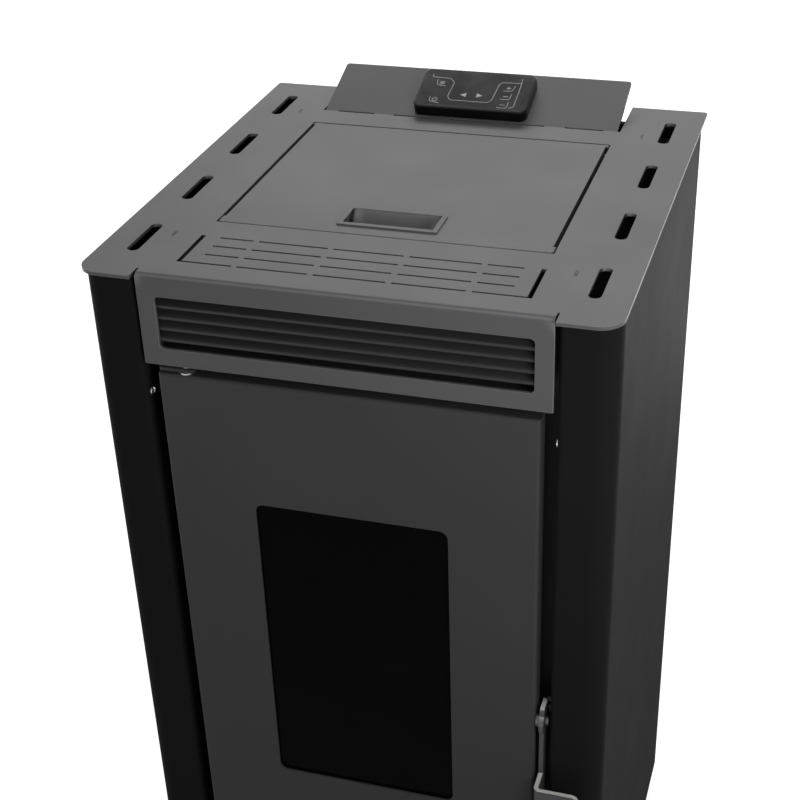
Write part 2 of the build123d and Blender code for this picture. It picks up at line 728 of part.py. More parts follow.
with BuildPart() as display_film:
    with BuildSketch(control_plane(DISPLAY_DEPTH - DISPLAY_FILM)):
        with Locations((0, DISPLAY_START + DISPLAY_HEIGHT / 2)):
            RectangleRounded(DISPLAY_WIDTH - 2 * DISPLAY_RIM, DISPLAY_HEIGHT - DISPLAY_RIM, DISPLAY_R / 4)
    extrude(amount=DISPLAY_FILM)
save(display_film, "display_film")

with BuildPart() as louvre_grille:
    louvre_front = FACE_Y + TOP_T + RUNNING_GAP
    louvre_half = WINDOW_HALF + LOUVRE_MARGIN
    louvre_low = WINDOW_BOTTOM - LOUVRE_MARGIN
    louvre_high = WINDOW_TOP + LOUVRE_MARGIN
    for i in range(BLADE_COUNT):
        edge_z = BLADE_FIRST_Z - i * BLADE_PITCH
        with BuildSketch(side_plane(-louvre_half)):
            folded([(louvre_front, edge_z - BLADE_LIP / 2), (louvre_front, edge_z + BLADE_LIP / 2),
                    (louvre_front + BLADE_DEPTH, edge_z + BLADE_RISE)], 1.1 * BLADE_T, BLADE_T, Side.RIGHT)
        extrude(amount=2 * louvre_half)
    for side in (-1, 1):
        ends = sorted((side * louvre_half, side * (louvre_half + BLADE_T)))
        block(ends, (louvre_front, FRAME_Y), (louvre_low - BLADE_T, louvre_high + BLADE_T))
    for low in (louvre_low - BLADE_T, louvre_high):
        block((-louvre_half, louvre_half), (louvre_front, FRAME_Y), (low, low + BLADE_T))
save(louvre_grille, "louvre_grille")


def side_panel(side):
    """Side sheet, rounded front column and return flange, folded from one piece."""
    line = [(side * (BODY_HALF - REAR_FLANGE), BODY_REAR), (side * BODY_HALF, BODY_REAR),
            (side * BODY_HALF, BODY_FRONT), (side * COLUMN_X, BODY_FRONT),
            (side * COLUMN_X, BODY_FRONT + RETURN_DEPTH)]
    with BuildSketch(level(DECK_Z)) as section:
        folded(line, [RETURN_R, COLUMN_R, RETURN_R], SHEET, Side.LEFT if side < 0 else Side.RIGHT)
    extrude(section.sketch, amount=SIDE_TOP - DECK_Z)
    with BuildSketch(side_plane(side * COLUMN_X)) as holes:
        with Locations(*[(SIDE_SCREW_Y, z) for z in SIDE_SCREW_Z]):
            Circle(SCREW_R + TAB_CLEARANCE)
    extrude(holes.sketch, amount=SHEET + PUNCH, both=True, mode=Mode.SUBTRACT)


with BuildPart() as side_panel_left:
    side_panel(-1)
save(side_panel_left, "side_panel_left")

with BuildPart() as side_panel_right:
    side_panel(1)
save(side_panel_right, "side_panel_right")

with BuildPart() as base_plate:
    with BuildSketch(level(BASE_Z)):
        span(-BODY_HALF, BODY_HALF, BODY_FRONT, BODY_REAR)
        fillet(vertices().group_by(Axis.Y)[0], COLUMN_R)
        fillet(vertices().group_by(Axis.Y)[-1], RETURN_R)
        feet = [(x, y) for x in (-FOOT_X, FOOT_X)
                for y in (BODY_FRONT + FOOT_INSET, BODY_REAR - FOOT_INSET)]
        with Locations(*feet):
            Circle(SHAFT_R + TAB_CLEARANCE, mode=Mode.SUBTRACT)
        with Locations(((BLOWER_LEFT + BLOWER_RIGHT) / 2, BLOWER_Y)):
            with GridLocations(FLOOR_VENT_PITCH, 0, FLOOR_VENT_COUNT, 1):
                SlotOverall(FLOOR_VENT_LENGTH, FLOOR_VENT_WIDTH, rotation=90, mode=Mode.SUBTRACT)
    extrude(amount=BASE_T)
save(base_plate, "base_plate")

with BuildPart() as levelling_feet:
    nut_r = SHAFT_R + NUT_LAP
    stud_top = DECK_Z + STUD_PROUD
    foot_outline = [(0, 0), (FOOT_R, 0), (FOOT_R, FOOT_RIM), (FOOT_R - FOOT_RIM, FOOT_CONE),
                    (nut_r, FOOT_NECK), (SHAFT_R, FOOT_NECK), (SHAFT_R, BASE_Z - NUT_T),
                    (nut_r, BASE_Z - NUT_T), (nut_r, BASE_Z), (SHAFT_R, BASE_Z), (SHAFT_R, DECK_Z),
                    (nut_r, DECK_Z), (nut_r, DECK_Z + NUT_T), (SHAFT_R, DECK_Z + NUT_T),
                    (SHAFT_R, stud_top), (0, stud_top)]
    for x, y in feet:
        with BuildSketch(Plane(origin=(x, y, 0), x_dir=(1, 0, 0), z_dir=(0, -1, 0))):
            with BuildLine():
                Polyline(*foot_outline, close=True)
            make_face()
        revolve(axis=Axis((x, y, 0), (0, 0, 1)))
save(levelling_feet, "levelling_feet")

with BuildPart() as side_partitions:
    for side in (-1, 1):
        faces_x = sorted((side * PARTITION_X, side * (PARTITION_X + SHEET)))
        with BuildSketch(side_plane(faces_x[0])):
            span(FRAME_BACK + RUNNING_GAP, BODY_REAR, DECK_Z, TOP_UNDER)
            for tab_y in (TAB_FRONT_Y, TAB_REAR_Y):
                span(tab_y - TAB_LENGTH / 2, tab_y + TAB_LENGTH / 2, TOP_UNDER - PUNCH, TOP_Z)
            with Locations(((FRAME_BACK + BODY_REAR) / 2, (DECK_Z + TOP_UNDER) / 2)):
                with GridLocations(WING_SLOT_PITCH, WING_SLOT_PITCH, PARTITION_SLOT_COLUMNS,
                                   PARTITION_SLOT_ROWS):
                    SlotOverall(WING_SLOT_LENGTH, WING_SLOT_WIDTH, mode=Mode.SUBTRACT)
        extrude(amount=SHEET)
save(side_partitions, "side_partitions")

with BuildPart() as front_posts:
    frame_half = COLUMN_X - FRAME_SIDE_GAP
    for side in (-1, 1):
        with BuildSketch(level(DECK_Z)):
            folded([(side * MOUTH_HALF, FRAME_Y), (side * frame_half, FRAME_Y),
                    (side * frame_half, FRAME_Y + FRAME_FLANGE)], FRAME_BEND_R, FRAME_T,
                   Side.LEFT if side > 0 else Side.RIGHT)
        extrude(amount=FRAME_TOP - DECK_Z)
save(front_posts, "front_posts")

with BuildPart() as front_rails:
    rail_half = MOUTH_HALF - WELD_GAP
    for low, high in ((DECK_Z, MOUTH_BOTTOM), (MOUTH_TOP, WINDOW_BOTTOM), (WINDOW_TOP, FRAME_TOP)):
        block((-rail_half, rail_half), (FRAME_Y, FRAME_BACK), (low, high))
save(front_rails, "front_rails")

with BuildPart() as lower_front_panel:
    block((-DOOR_HALF, DOOR_HALF), (FACE_Y, FRAME_Y), (LOWER_BOTTOM, LOWER_TOP))
    fillet(faces().sort_by(Axis.Y)[0].edges(), DOOR_EDGE_R)
    offset(amount=-DOOR_T, openings=faces().sort_by(Axis.Y)[-1])
save(lower_front_panel, "lower_front_panel")

screw_x = BACK_HALF - BACK_SCREW_INSET
screw_low = BACK_BOTTOM + BACK_SCREW_END
screw_pitch = (BACK_TOP - BACK_SCREW_END - screw_low) / (BACK_SCREW_ROWS - 1)
back_screws = [(x, screw_low + row * screw_pitch) for x in (-screw_x, screw_x)
               for row in range(BACK_SCREW_ROWS)]
with BuildPart() as back_panel:
    with BuildSketch(front_plane(PANEL_OUT)):
        span(-BACK_HALF, BACK_HALF, BACK_BOTTOM, BACK_TOP)
        with Locations((FLUE_X, FLUE_Z)):
            Circle(FLUE_R + RUNNING_GAP, mode=Mode.SUBTRACT)
        with Locations((INTAKE_X, INTAKE_Z)):
            Circle(INTAKE_R + RUNNING_GAP, mode=Mode.SUBTRACT)
        with Locations((SERVICE_X, INLET_Z)):
            Rectangle(INLET_WIDTH, INLET_HEIGHT, mode=Mode.SUBTRACT)
        with Locations((SERVICE_X, THERMOSTAT_Z)):
            Circle(THERMOSTAT_R, mode=Mode.SUBTRACT)
        with Locations((-VENT_X, VENT_Z), (VENT_X, VENT_Z)):
            with GridLocations(0, VENT_PITCH, 1, VENT_COUNT):
                SlotOverall(VENT_LENGTH, VENT_WIDTH, mode=Mode.SUBTRACT)
        with Locations(*back_screws):
            Circle(SCREW_R + TAB_CLEARANCE, mode=Mode.SUBTRACT)
    extrude(amount=SHEET)
save(back_panel, "back_panel")

with BuildPart() as casing_screws:
    for side in (-1, 1):
        for z in SIDE_SCREW_Z:
            face = Plane(origin=(side * COLUMN_X, SIDE_SCREW_Y, z), x_dir=(0, 1, 0), z_dir=(-side, 0, 0))
            with BuildSketch(face):
                Circle(SCREW_HEAD_R)
            extrude(amount=SCREW_HEAD)
            with BuildSketch(face):
                Circle(SCREW_R)
            extrude(amount=-(SHEET + 2 * SCREW_HEAD))
            with BuildSketch(face.offset(-SHEET)):
                RegularPolygon(SCREW_HEAD_R, 6)
            extrude(amount=-SCREW_HEAD)
    heads = [e for e in edges().filter_by(GeomType.CIRCLE) if abs(e.radius - SCREW_HEAD_R) < 0.01
             and abs(abs(e.center().X) - (COLUMN_X - SCREW_HEAD)) < 0.01]
    fillet(heads, 0.8 * SCREW_HEAD)
    for x, z in back_screws:
        with BuildSketch(front_plane(PANEL_OUT)):
            with Locations((x, z)):
                Circle(SCREW_HEAD_R)
        extrude(amount=-SCREW_HEAD)
        with BuildSketch(front_plane(PANEL_OUT)):
            with Locations((x, z)):
                Circle(SCREW_R)
        extrude(amount=SHEET)
    fillet(edges().filter_by(GeomType.CIRCLE).group_by(Axis.Y)[-1], 0.8 * SCREW_HEAD)
save(casing_screws, "casing_screws")

# ---------------------------------------------------------------- hopper lid
pocket_half = PULL_WIDTH / 2 - PULL_LIP
cup_half = pocket_half + PULL_WALL
cup_front = POCKET_FRONT - PULL_WALL
cup_back = POCKET_BACK + PULL_WALL
with BuildPart() as hopper_lid:
    lid_half = LID_WIDTH / 2
    skirt_out = lid_half - LID_SIDE_INSET
    skirt_front = LID_FRONT + LID_CORNER_TAB
    skirt_rear = LID_REAR - LID_REAR_TAB
    with BuildSketch(level(TOP_Z - LID_T)):
        span(-lid_half, lid_half, LID_FRONT, LID_REAR)
        fillet(vertices(), LID_CORNER_R)
        for side in (-1, 1):
            edge = sorted((side * skirt_out, side * lid_half))
            span(edge[0], edge[1], skirt_front, skirt_rear, mode=Mode.SUBTRACT)
        span(-cup_half - TAB_CLEARANCE, cup_half + TAB_CLEARANCE, cup_front - TAB_CLEARANCE,
             cup_back + TAB_CLEARANCE, mode=Mode.SUBTRACT)
    extrude(amount=LID_T)
    skirt_low = TOP_Z - LID_T - LID_SKIRT
    for side in (-1, 1):
        wall = sorted((side * skirt_out, side * (skirt_out - LID_T)))
        block(wall, (skirt_front, skirt_rear), (skirt_low, TOP_Z - LID_T))
    front_end = skirt_out - LID_CORNER_TAB
    block((-front_end, front_end), (LID_FRONT, LID_FRONT + LID_T), (skirt_low, TOP_Z - LID_T))
    front_edge = edges().filter_by(Axis.X).group_by(Axis.Z)[-1].sort_by(Axis.Y)[0]
    fillet(front_edge, 0.4 * LID_T)
save(hopper_lid, "hopper_lid")

with BuildPart() as lid_pull:
    with BuildSketch(level(TOP_Z)):
        span(-PULL_WIDTH / 2, PULL_WIDTH / 2, PULL_FRONT, PULL_BACK)
        fillet(vertices(), LID_CORNER_R / 2)
    extrude(amount=PULL_PROUD)
    with BuildSketch(side_plane(-cup_half)):
        with BuildLine():
            Polyline((cup_back, TOP_Z), (cup_front, TOP_Z), (cup_front, POCKET_LOW - PULL_WALL),
                     (cup_back - POCKET_SLANT, POCKET_LOW - PULL_WALL), close=True)
        make_face()
    extrude(amount=2 * cup_half)
    with BuildSketch(side_plane(-pocket_half)):
        with BuildLine():
            Polyline((POCKET_BACK, TOP_Z + PULL_PROUD), (POCKET_FRONT, TOP_Z + PULL_PROUD),
                     (POCKET_FRONT, POCKET_LOW), (POCKET_BACK - POCKET_SLANT, POCKET_LOW),
                     (POCKET_BACK, TOP_Z), close=True)
        make_face()
    extrude(amount=2 * pocket_half, mode=Mode.SUBTRACT)
save(lid_pull, "lid_pull")

with BuildPart() as lid_hinge_pins:
    for side in (-1, 1):
        with BuildSketch(Plane(origin=(side * skirt_out, LID_AXIS_Y, LID_AXIS_Z), z_dir=(side, 0, 0))):
            Circle(LID_PIN_R)
        extrude(amount=LID_PIN_LENGTH)
save(lid_hinge_pins, "lid_hinge_pins")

with BuildPart() as lid_hinge_brackets:
    for side in (-1, 1):
        inner = LID_WIDTH / 2 + LID_GAP + BRACKET_GAP
        plates = sorted((side * inner, side * (inner + 2 * LID_T)))
        with BuildSketch(side_plane(plates[0])):
            span(LID_AXIS_Y - BRACKET_LENGTH / 2, LID_AXIS_Y + BRACKET_LENGTH / 2,
                 LID_AXIS_Z - BRACKET_DROP, TOP_UNDER)
            fillet(vertices().group_by(Axis.Y)[0], LID_CORNER_R)
            with Locations((LID_AXIS_Y, LID_AXIS_Z)):
                Circle(LID_PIN_R + PIN_CLEARANCE, mode=Mode.SUBTRACT)
        extrude(amount=2 * LID_T)
save(lid_hinge_brackets, "lid_hinge_brackets")

# ---------------------------------------------------------------- fuel feed
HOPPER_LEVELS = [  # height, half width, front, back
    (HOPPER_RIM, HOPPER_HALF, HOPPER_FRONT, HOPPER_BACK),
    (SHOULDER_Z, HOPPER_HALF, HOPPER_FRONT, HOPPER_BACK),
    (WAIST_Z, WAIST_HALF, WAIST_FRONT, HOPPER_BACK),
    (NECK_Z, NECK_HALF, NECK_FRONT, HOPPER_BACK),
]


def hopper_panel(upper, lower, x_limits, y_limits):
    """Flat panel between two levels; its limits follow from a level's half width, front and back."""
    ends = []
    for (z, half, front, back), gap in ((upper, WELD_GAP), (lower, 0)):
        x0, x1 = x_limits(half)
        y0, y1 = y_limits(front, back)
        with BuildSketch(level(z - gap)) as end:
            span(x0, x1, y0, y1)
        ends.append(end.sketch.face())
    loft(ends, ruled=True)


def whole_depth(front, back):
    """Depth of a side panel, which the front and back panels stand between."""
    return front, back


def between_sides(half):
    """Width of a front or back panel."""
    return HOPPER_T + WELD_GAP - half, half - HOPPER_T - WELD_GAP


with BuildPart() as hopper:
    for upper, lower in zip(HOPPER_LEVELS, HOPPER_LEVELS[1:]):
        hopper_panel(upper, lower, lambda half: (-half, HOPPER_T - half), whole_depth)
        hopper_panel(upper, lower, lambda half: (half - HOPPER_T, half), whole_depth)
        hopper_panel(upper, lower, between_sides, lambda front, back: (front, front + HOPPER_T))
        hopper_panel(upper, lower, between_sides, lambda front, back: (back - HOPPER_T, back))
    for side in (-1, 1):
        wing = sorted((side * (HOPPER_HALF + WELD_GAP), side * PARTITION_X))
        block(wing, (HOPPER_WING_FRONT, HOPPER_WING_BACK), (SHOULDER_Z, SHOULDER_Z + HOPPER_WING_T))
save(hopper, "hopper")

with BuildPart() as lid_gasket:
    with BuildSketch(level(HOPPER_RIM)):
        seal_out = SEAL_WIDTH / 2 - HOPPER_T / 2
        span(-HOPPER_HALF - seal_out, HOPPER_HALF + seal_out, HOPPER_FRONT - seal_out, HOPPER_BACK + seal_out)
        fillet(vertices(), LID_CORNER_R)
        seal_in = SEAL_WIDTH - seal_out
        span(-HOPPER_HALF + seal_in, HOPPER_HALF - seal_in, HOPPER_FRONT + seal_in, HOPPER_BACK - seal_in,
             mode=Mode.SUBTRACT)
    extrude(amount=TOP_Z - LID_T - SEAL_GAP - HOPPER_RIM)
save(lid_gasket, "lid_gasket")

with BuildPart() as hopper_grille:
    rod_z = SHOULDER_Z + ROD_R
    inner_half = HOPPER_HALF - HOPPER_T
    inner_front = HOPPER_FRONT + HOPPER_T
    inner_back = HOPPER_BACK - HOPPER_T
    rod_pitch = 2 * inner_half / (ROD_COUNT + 1)
    with BuildSketch(front_plane(inner_back)):
        with Locations((0, rod_z)):
            with GridLocations(rod_pitch, 0, ROD_COUNT, 1):
                Circle(ROD_R)
    extrude(amount=inner_back - inner_front)
    with BuildSketch(side_plane(-inner_half)):
        with Locations(((inner_front + inner_back) / 2, rod_z)):
            with GridLocations((inner_back - inner_front) / 3, 0, 2, 1):
                Circle(ROD_R)
    extrude(amount=2 * inner_half)
save(hopper_grille, "hopper_grille")

with BuildPart() as auger_tube:
    with BuildSketch(along_auger(0)):
        Circle(AUGER_TUBE_R)
    extrude(amount=AUGER_LENGTH)
    with BuildSketch(along_auger(0)):
        Circle(TUBE_FLANGE_R)
    extrude(amount=TUBE_FLANGE_T)
    collar_low = AUGER_Z + AUGER_TUBE_R
    block((-NECK_HALF, NECK_HALF), (NECK_FRONT, HOPPER_BACK), (collar_low, NECK_Z))
    with BuildSketch(along_auger(0)):
        Circle(AUGER_TUBE_R - PIPE_WALL)
    extrude(amount=AUGER_LENGTH - PIPE_WALL, mode=Mode.SUBTRACT)
    block((-AUGER_R, AUGER_R), (NECK_FRONT + PIPE_WALL, HOPPER_BACK - PIPE_WALL),
          (collar_low, NECK_Z), mode=Mode.SUBTRACT)
    with BuildSketch(chute_plane(0)):
        Circle(CHUTE_R - PIPE_WALL)
    extrude(amount=2 * AUGER_TUBE_R, mode=Mode.SUBTRACT)
save(auger_tube, "auger_tube")

with BuildPart() as pellet_chute:
    with BuildSketch(chute_plane(0)):
        Circle(CHUTE_R)
        Circle(CHUTE_R - PIPE_WALL, mode=Mode.SUBTRACT)
    extrude(amount=CHUTE_LENGTH)
    with BuildSketch(along_auger(0)):
        Circle(AUGER_TUBE_R)
    extrude(amount=2 * AUGER_LENGTH, mode=Mode.SUBTRACT)
save(pellet_chute, "pellet_chute")

with BuildPart() as auger:
    shaft_start = -GEARBOX_DEPTH + AUGER_END_GAP
    shaft_end = AUGER_LENGTH - PIPE_WALL - AUGER_END_GAP
    with BuildSketch(along_auger(shaft_start)):
        Circle(AUGER_SHAFT_R)
    extrude(amount=shaft_end - shaft_start)
    root_r = AUGER_SHAFT_R - PUNCH  # the flight starts just inside the shaft
    flight_base = along_auger(AUGER_END_GAP).origin
    with BuildLine() as flight_line:
        Helix(AUGER_PITCH, AUGER_TURNS * AUGER_PITCH, root_r, center=flight_base, direction=AUGER_DIR)
    flight_path = flight_line.wires()[0]
    outward = flight_path @ 0 - flight_base
    with BuildSketch(Plane(origin=flight_path @ 0, x_dir=outward, z_dir=flight_path % 0)):
        with Locations(((AUGER_R - root_r) / 2, 0)):
            Rectangle(AUGER_R - root_r, AUGER_FLIGHT)
    sweep(path=flight_path, is_frenet=True)
save(auger, "auger")

with BuildPart() as auger_gearmotor:
    with BuildSketch(along_auger(0)):
        Rectangle(2 * GEARBOX_HALF, 2 * GEARBOX_HALF)
        fillet(vertices(), GEARBOX_R)
    extrude(amount=-GEARBOX_DEPTH)
    with BuildSketch(along_auger(0)):
        Circle(AUGER_SHAFT_R + PIN_CLEARANCE)
    extrude(amount=-GEARBOX_DEPTH, mode=Mode.SUBTRACT)
    with BuildSketch(along_auger(-GEARBOX_DEPTH)):
        Circle(GEARMOTOR_R)
    extrude(amount=-GEARMOTOR_LENGTH)
    fillet(edges().filter_by(GeomType.CIRCLE).group_by(Axis.Y)[-1], SHEET_CORNER_R)
save(auger_gearmotor, "auger_gearmotor")

# ---------------------------------------------------------------- firebox
with BuildPart() as firebox_shell:
    outline = [(FRAME_BACK, FIREBOX_BOTTOM), (FIREBOX_REAR, FIREBOX_BOTTOM), (FIREBOX_REAR, FIREBOX_TOP),
               (FIREBOX_SHELF_Y, FIREBOX_TOP), (FIREBOX_SHELF_Y, FIREBOX_SHELF_Z),
               (FRAME_BACK, FIREBOX_SHELF_Z)]
    with BuildSketch(side_plane(-FIREBOX_HALF)):
        with BuildLine():
            Polyline(*outline, close=True)
        make_face()
    extrude(amount=2 * FIREBOX_HALF)
    inner_low = FIREBOX_BOTTOM + FIREBOX_WALL
    inner_top = FIREBOX_TOP - FIREBOX_WALL
    inner_shelf_y = FIREBOX_SHELF_Y + FIREBOX_WALL
    inner_shelf_z = FIREBOX_SHELF_Z - FIREBOX_WALL
    hollow = [(FRAME_BACK, inner_low), (FIREBOX_INNER_REAR, inner_low), (FIREBOX_INNER_REAR, inner_top),
              (inner_shelf_y, inner_top), (inner_shelf_y, inner_shelf_z), (FRAME_BACK, inner_shelf_z)]
    with BuildSketch(side_plane(-FIREBOX_HALF + FIREBOX_WALL)):
        with BuildLine():
            Polyline(*hollow, close=True)
        make_face()
    extrude(amount=2 * (FIREBOX_HALF - FIREBOX_WALL), mode=Mode.SUBTRACT)
    with BuildSketch(front_plane(FIREBOX_REAR)):
        with tube_centres():
            Circle(TUBE_R + WELD_GAP)
    extrude(amount=FIREBOX_REAR - FIREBOX_SHELF_Y, mode=Mode.SUBTRACT)
    with BuildSketch(front_plane(FIREBOX_REAR)):
        with Locations((EXHAUST_X, EXHAUST_Z)):
            Circle(EXHAUST_INLET_R)
        with Locations((INTAKE_X, INTAKE_Z)):
            Circle(INTAKE_R - PIPE_STEP + WELD_GAP)
        with Locations((IGNITER_X, IGNITER_Z)):
            Circle(IGNITER_R + WELD_GAP)
    extrude(amount=FIREBOX_WALL, mode=Mode.SUBTRACT)
    with BuildSketch(chute_plane(0)):
        Circle(CHUTE_R + WELD_GAP)
    extrude(amount=CHUTE_LENGTH, mode=Mode.SUBTRACT)
save(firebox_shell, "firebox_shell")

with BuildPart() as rear_liner:
    liner_half = FIREBOX_HALF - FIREBOX_WALL - LINER_T - LINER_FIT
    block((-liner_half, liner_half), (FIREBOX_INNER_REAR - LINER_T, FIREBOX_INNER_REAR),
          (HOLDER_TOP, LINER_TOP - LINER_FIT))
    with BuildSketch(front_plane(FIREBOX_INNER_REAR - LINER_T + LINER_GROOVE_DEPTH)):
        with Locations((0, (HOLDER_TOP + LINER_TOP) / 2)):
            with GridLocations(2 * LINER_GROOVE_WIDTH, 0, LINER_GROOVES, 1):
                SlotOverall(LINER_TOP - HOLDER_TOP - 2 * LINER_GROOVE_END, LINER_GROOVE_WIDTH, rotation=90)
    extrude(amount=LINER_GROOVE_DEPTH, mode=Mode.SUBTRACT)
    with BuildSketch(chute_plane(0)):
        Circle(CHUTE_R + LINER_FIT)
    extrude(amount=CHUTE_LENGTH, mode=Mode.SUBTRACT)
save(rear_liner, "rear_liner")

with BuildPart() as side_liners:
    for side in (-1, 1):
        inner = FIREBOX_HALF - FIREBOX_WALL
        walls = sorted((side * inner, side * (inner - LINER_T)))
        block(walls, (FRAME_BACK + LINER_FRONT_GAP, FIREBOX_INNER_REAR), (inner_low, LINER_TOP))
save(side_liners, "side_liners")

with BuildPart() as baffle_plate:
    baffle_half = FIREBOX_HALF - FIREBOX_WALL - RUNNING_GAP
    with BuildSketch(level(LINER_TOP)):
        span(-baffle_half, baffle_half, FIREBOX_INNER_REAR - BAFFLE_DEPTH, FIREBOX_INNER_REAR - RUNNING_GAP)
        with Locations((0, FIREBOX_INNER_REAR - BAFFLE_DEPTH)):
            Rectangle(MOUTH_HALF, 2 * BAFFLE_NOTCH, mode=Mode.SUBTRACT)
    extrude(amount=BAFFLE_T)
save(baffle_plate, "baffle_plate")

with BuildPart() as exchanger_tubes:
    with BuildSketch(front_plane(FIREBOX_REAR + TUBE_PROUD)):
        with tube_centres():
            Circle(TUBE_R)
        with tube_centres():
            Circle(TUBE_R - TUBE_WALL, mode=Mode.SUBTRACT)
    extrude(amount=FIREBOX_REAR - FIREBOX_SHELF_Y + 2 * TUBE_PROUD)
save(exchanger_tubes, "exchanger_tubes")

with BuildPart() as warm_air_duct:
    block((-DUCT_HALF, DUCT_HALF), (FRAME_BACK, FIREBOX_SHELF_Y), (FIREBOX_SHELF_Z, DUCT_TOP))
    block((-DUCT_HALF + DUCT_WALL, DUCT_HALF - DUCT_WALL), (FRAME_BACK, FIREBOX_SHELF_Y - DUCT_WALL),
          (FIREBOX_SHELF_Z, DUCT_TOP - DUCT_WALL), mode=Mode.SUBTRACT)
    block((-MOUTH_HALF, MOUTH_HALF), (FRAME_BACK, FIREBOX_SHELF_Y - 2 * DUCT_WALL),
          (DUCT_TOP - 2 * DUCT_WALL, DUCT_TOP), mode=Mode.SUBTRACT)
    with BuildSketch(front_plane(FIREBOX_SHELF_Y)):
        with tube_centres():
            Circle(TUBE_R + WELD_GAP)
    extrude(amount=DUCT_WALL, mode=Mode.SUBTRACT)
save(warm_air_duct, "warm_air_duct")


def riser_outline(inset):
    """L-shaped duct outline: an upright at the left and a manifold behind the tubes."""
    with BuildLine() as outline:
        Polyline((RISER_LEFT + inset, RISER_BOTTOM + inset), (RISER_RIGHT - inset, RISER_BOTTOM + inset),
                 (RISER_RIGHT - inset, MANIFOLD_Z + inset), (DUCT_HALF - inset, MANIFOLD_Z + inset),
                 (DUCT_HALF - inset, FIREBOX_TOP - inset), (RISER_LEFT + inset, FIREBOX_TOP - inset),
                 close=True)
    make_face(outline.edges())


with BuildPart() as air_riser:
    with BuildSketch(front_plane(FIREBOX_REAR + RISER_DEPTH)):
        riser_outline(0)
    extrude(amount=RISER_DEPTH)
    with BuildSketch(front_plane(FIREBOX_REAR + RISER_DEPTH - DUCT_WALL)):
        riser_outline(DUCT_WALL)
    extrude(amount=RISER_DEPTH - 2 * DUCT_WALL, mode=Mode.SUBTRACT)
    outlet_low = BLOWER_Z - BLOWER_CASE_R
    with BuildSketch(front_plane(FIREBOX_REAR + DUCT_WALL)):
        with tube_centres():
            Circle(TUBE_R + WELD_GAP)
        span(BLOWER_LEFT + OUTLET_INSET, BLOWER_RIGHT - OUTLET_INSET, outlet_low + OUTLET_INSET / 2,
             BLOWER_Z - OUTLET_INSET / 2)
    extrude(amount=DUCT_WALL, mode=Mode.SUBTRACT)
save(air_riser, "air_riser")

# ---------------------------------------------------------------- burner
with BuildPart() as burn_pot_holder:
    block((-HOLDER_HALF, HOLDER_HALF), (HOLDER_FRONT, FIREBOX_INNER_REAR), (HOLDER_BOTTOM, HOLDER_TOP))
    block((-HOLDER_HALF + HOLDER_WALL, HOLDER_HALF - HOLDER_WALL),
          (HOLDER_FRONT + HOLDER_WALL, FIREBOX_INNER_REAR),
          (HOLDER_BOTTOM + HOLDER_WALL, HOLDER_TOP - HOLDER_WALL), mode=Mode.SUBTRACT)
    with BuildSketch(level(HOLDER_TOP)):
        with Locations((0, POT_Y)):
            RectangleRounded(2 * (POT_HALF + POT_CLEARANCE), 2 * (POT_HALF_DEPTH + POT_CLEARANCE),
                             POT_CORNER_R)
    extrude(amount=-HOLDER_WALL, mode=Mode.SUBTRACT)
save(burn_pot_holder, "burn_pot_holder")

with BuildPart() as burn_pot:
    rim_z = HOLDER_TOP + RUNNING_GAP
    pot_low = rim_z + POT_RIM_T - POT_DEPTH
    with BuildSketch(level(rim_z)):
        with Locations((0, POT_Y)):
            RectangleRounded(2 * (POT_HALF + POT_RIM), 2 * (POT_HALF_DEPTH + POT_RIM),
                             POT_CORNER_R + POT_RIM / 3)
    extrude(amount=POT_RIM_T)
    with BuildSketch(level(rim_z)):
        with Locations((0, POT_Y)):
            RectangleRounded(2 * POT_HALF, 2 * POT_HALF_DEPTH, POT_CORNER_R)
    extrude(amount=pot_low - rim_z, taper=POT_TAPER)
    with BuildSketch(level(rim_z + POT_RIM_T)):
        with Locations((0, POT_Y)):
            RectangleRounded(2 * (POT_HALF - POT_WALL), 2 * (POT_HALF_DEPTH - POT_WALL), POT_CORNER_R / 2)
    extrude(amount=-(POT_DEPTH - POT_WALL), taper=POT_TAPER, mode=Mode.SUBTRACT)
    with BuildSketch(level(pot_low)):
        with Locations((0, POT_Y)):
            with GridLocations(POT_HOLE_PITCH, POT_HOLE_PITCH, 4, 3):
                Circle(POT_HOLE_R)
    extrude(amount=2 * POT_WALL, mode=Mode.SUBTRACT)
    with BuildSketch(front_plane(POT_Y + POT_HALF_DEPTH + POT_CLEARANCE)):
        with Locations((IGNITER_X, IGNITER_Z)):
            Circle(IGNITER_R + POT_CLEARANCE)
    extrude(amount=3 * POT_WALL, mode=Mode.SUBTRACT)
save(burn_pot, "burn_pot")

with BuildPart() as ash_pan:
    pan_top = inner_low + ASH_HEIGHT
    block((-ASH_HALF, ASH_HALF), (ASH_FRONT, ASH_REAR), (inner_low, pan_top))
    fillet(edges().filter_by(Axis.Z), POT_CORNER_R)
    offset(amount=-ASH_WALL, openings=faces().sort_by(Axis.Z)[-1])
    with BuildSketch(level(inner_low + ASH_HEIGHT / 2)):
        grip_front = ASH_FRONT - ASH_GRIP_DEPTH
        folded([(-ASH_GRIP_HALF, ASH_FRONT + ASH_WALL / 2), (-ASH_GRIP_HALF, grip_front),
                (ASH_GRIP_HALF, grip_front), (ASH_GRIP_HALF, ASH_FRONT + ASH_WALL / 2)],
               1.5 * ASH_GRIP_T, ASH_GRIP_T, Side.LEFT)
    extrude(amount=ASH_GRIP_HEIGHT)
save(ash_pan, "ash_pan")

with BuildPart() as igniter:
    tip_y = POT_Y + POT_HALF_DEPTH + POT_CLEARANCE
    with BuildSketch(front_plane(tip_y)):
        with Locations((IGNITER_X, IGNITER_Z)):
            Circle(IGNITER_R)
    extrude(amount=tip_y - FIREBOX_REAR - IGNITER_TAIL)
    with BuildSketch(front_plane(FIREBOX_REAR)):
        with Locations((IGNITER_X, IGNITER_Z)):
            Circle(2 * IGNITER_R)
    extrude(amount=-FIREBOX_WALL)
save(igniter, "igniter")

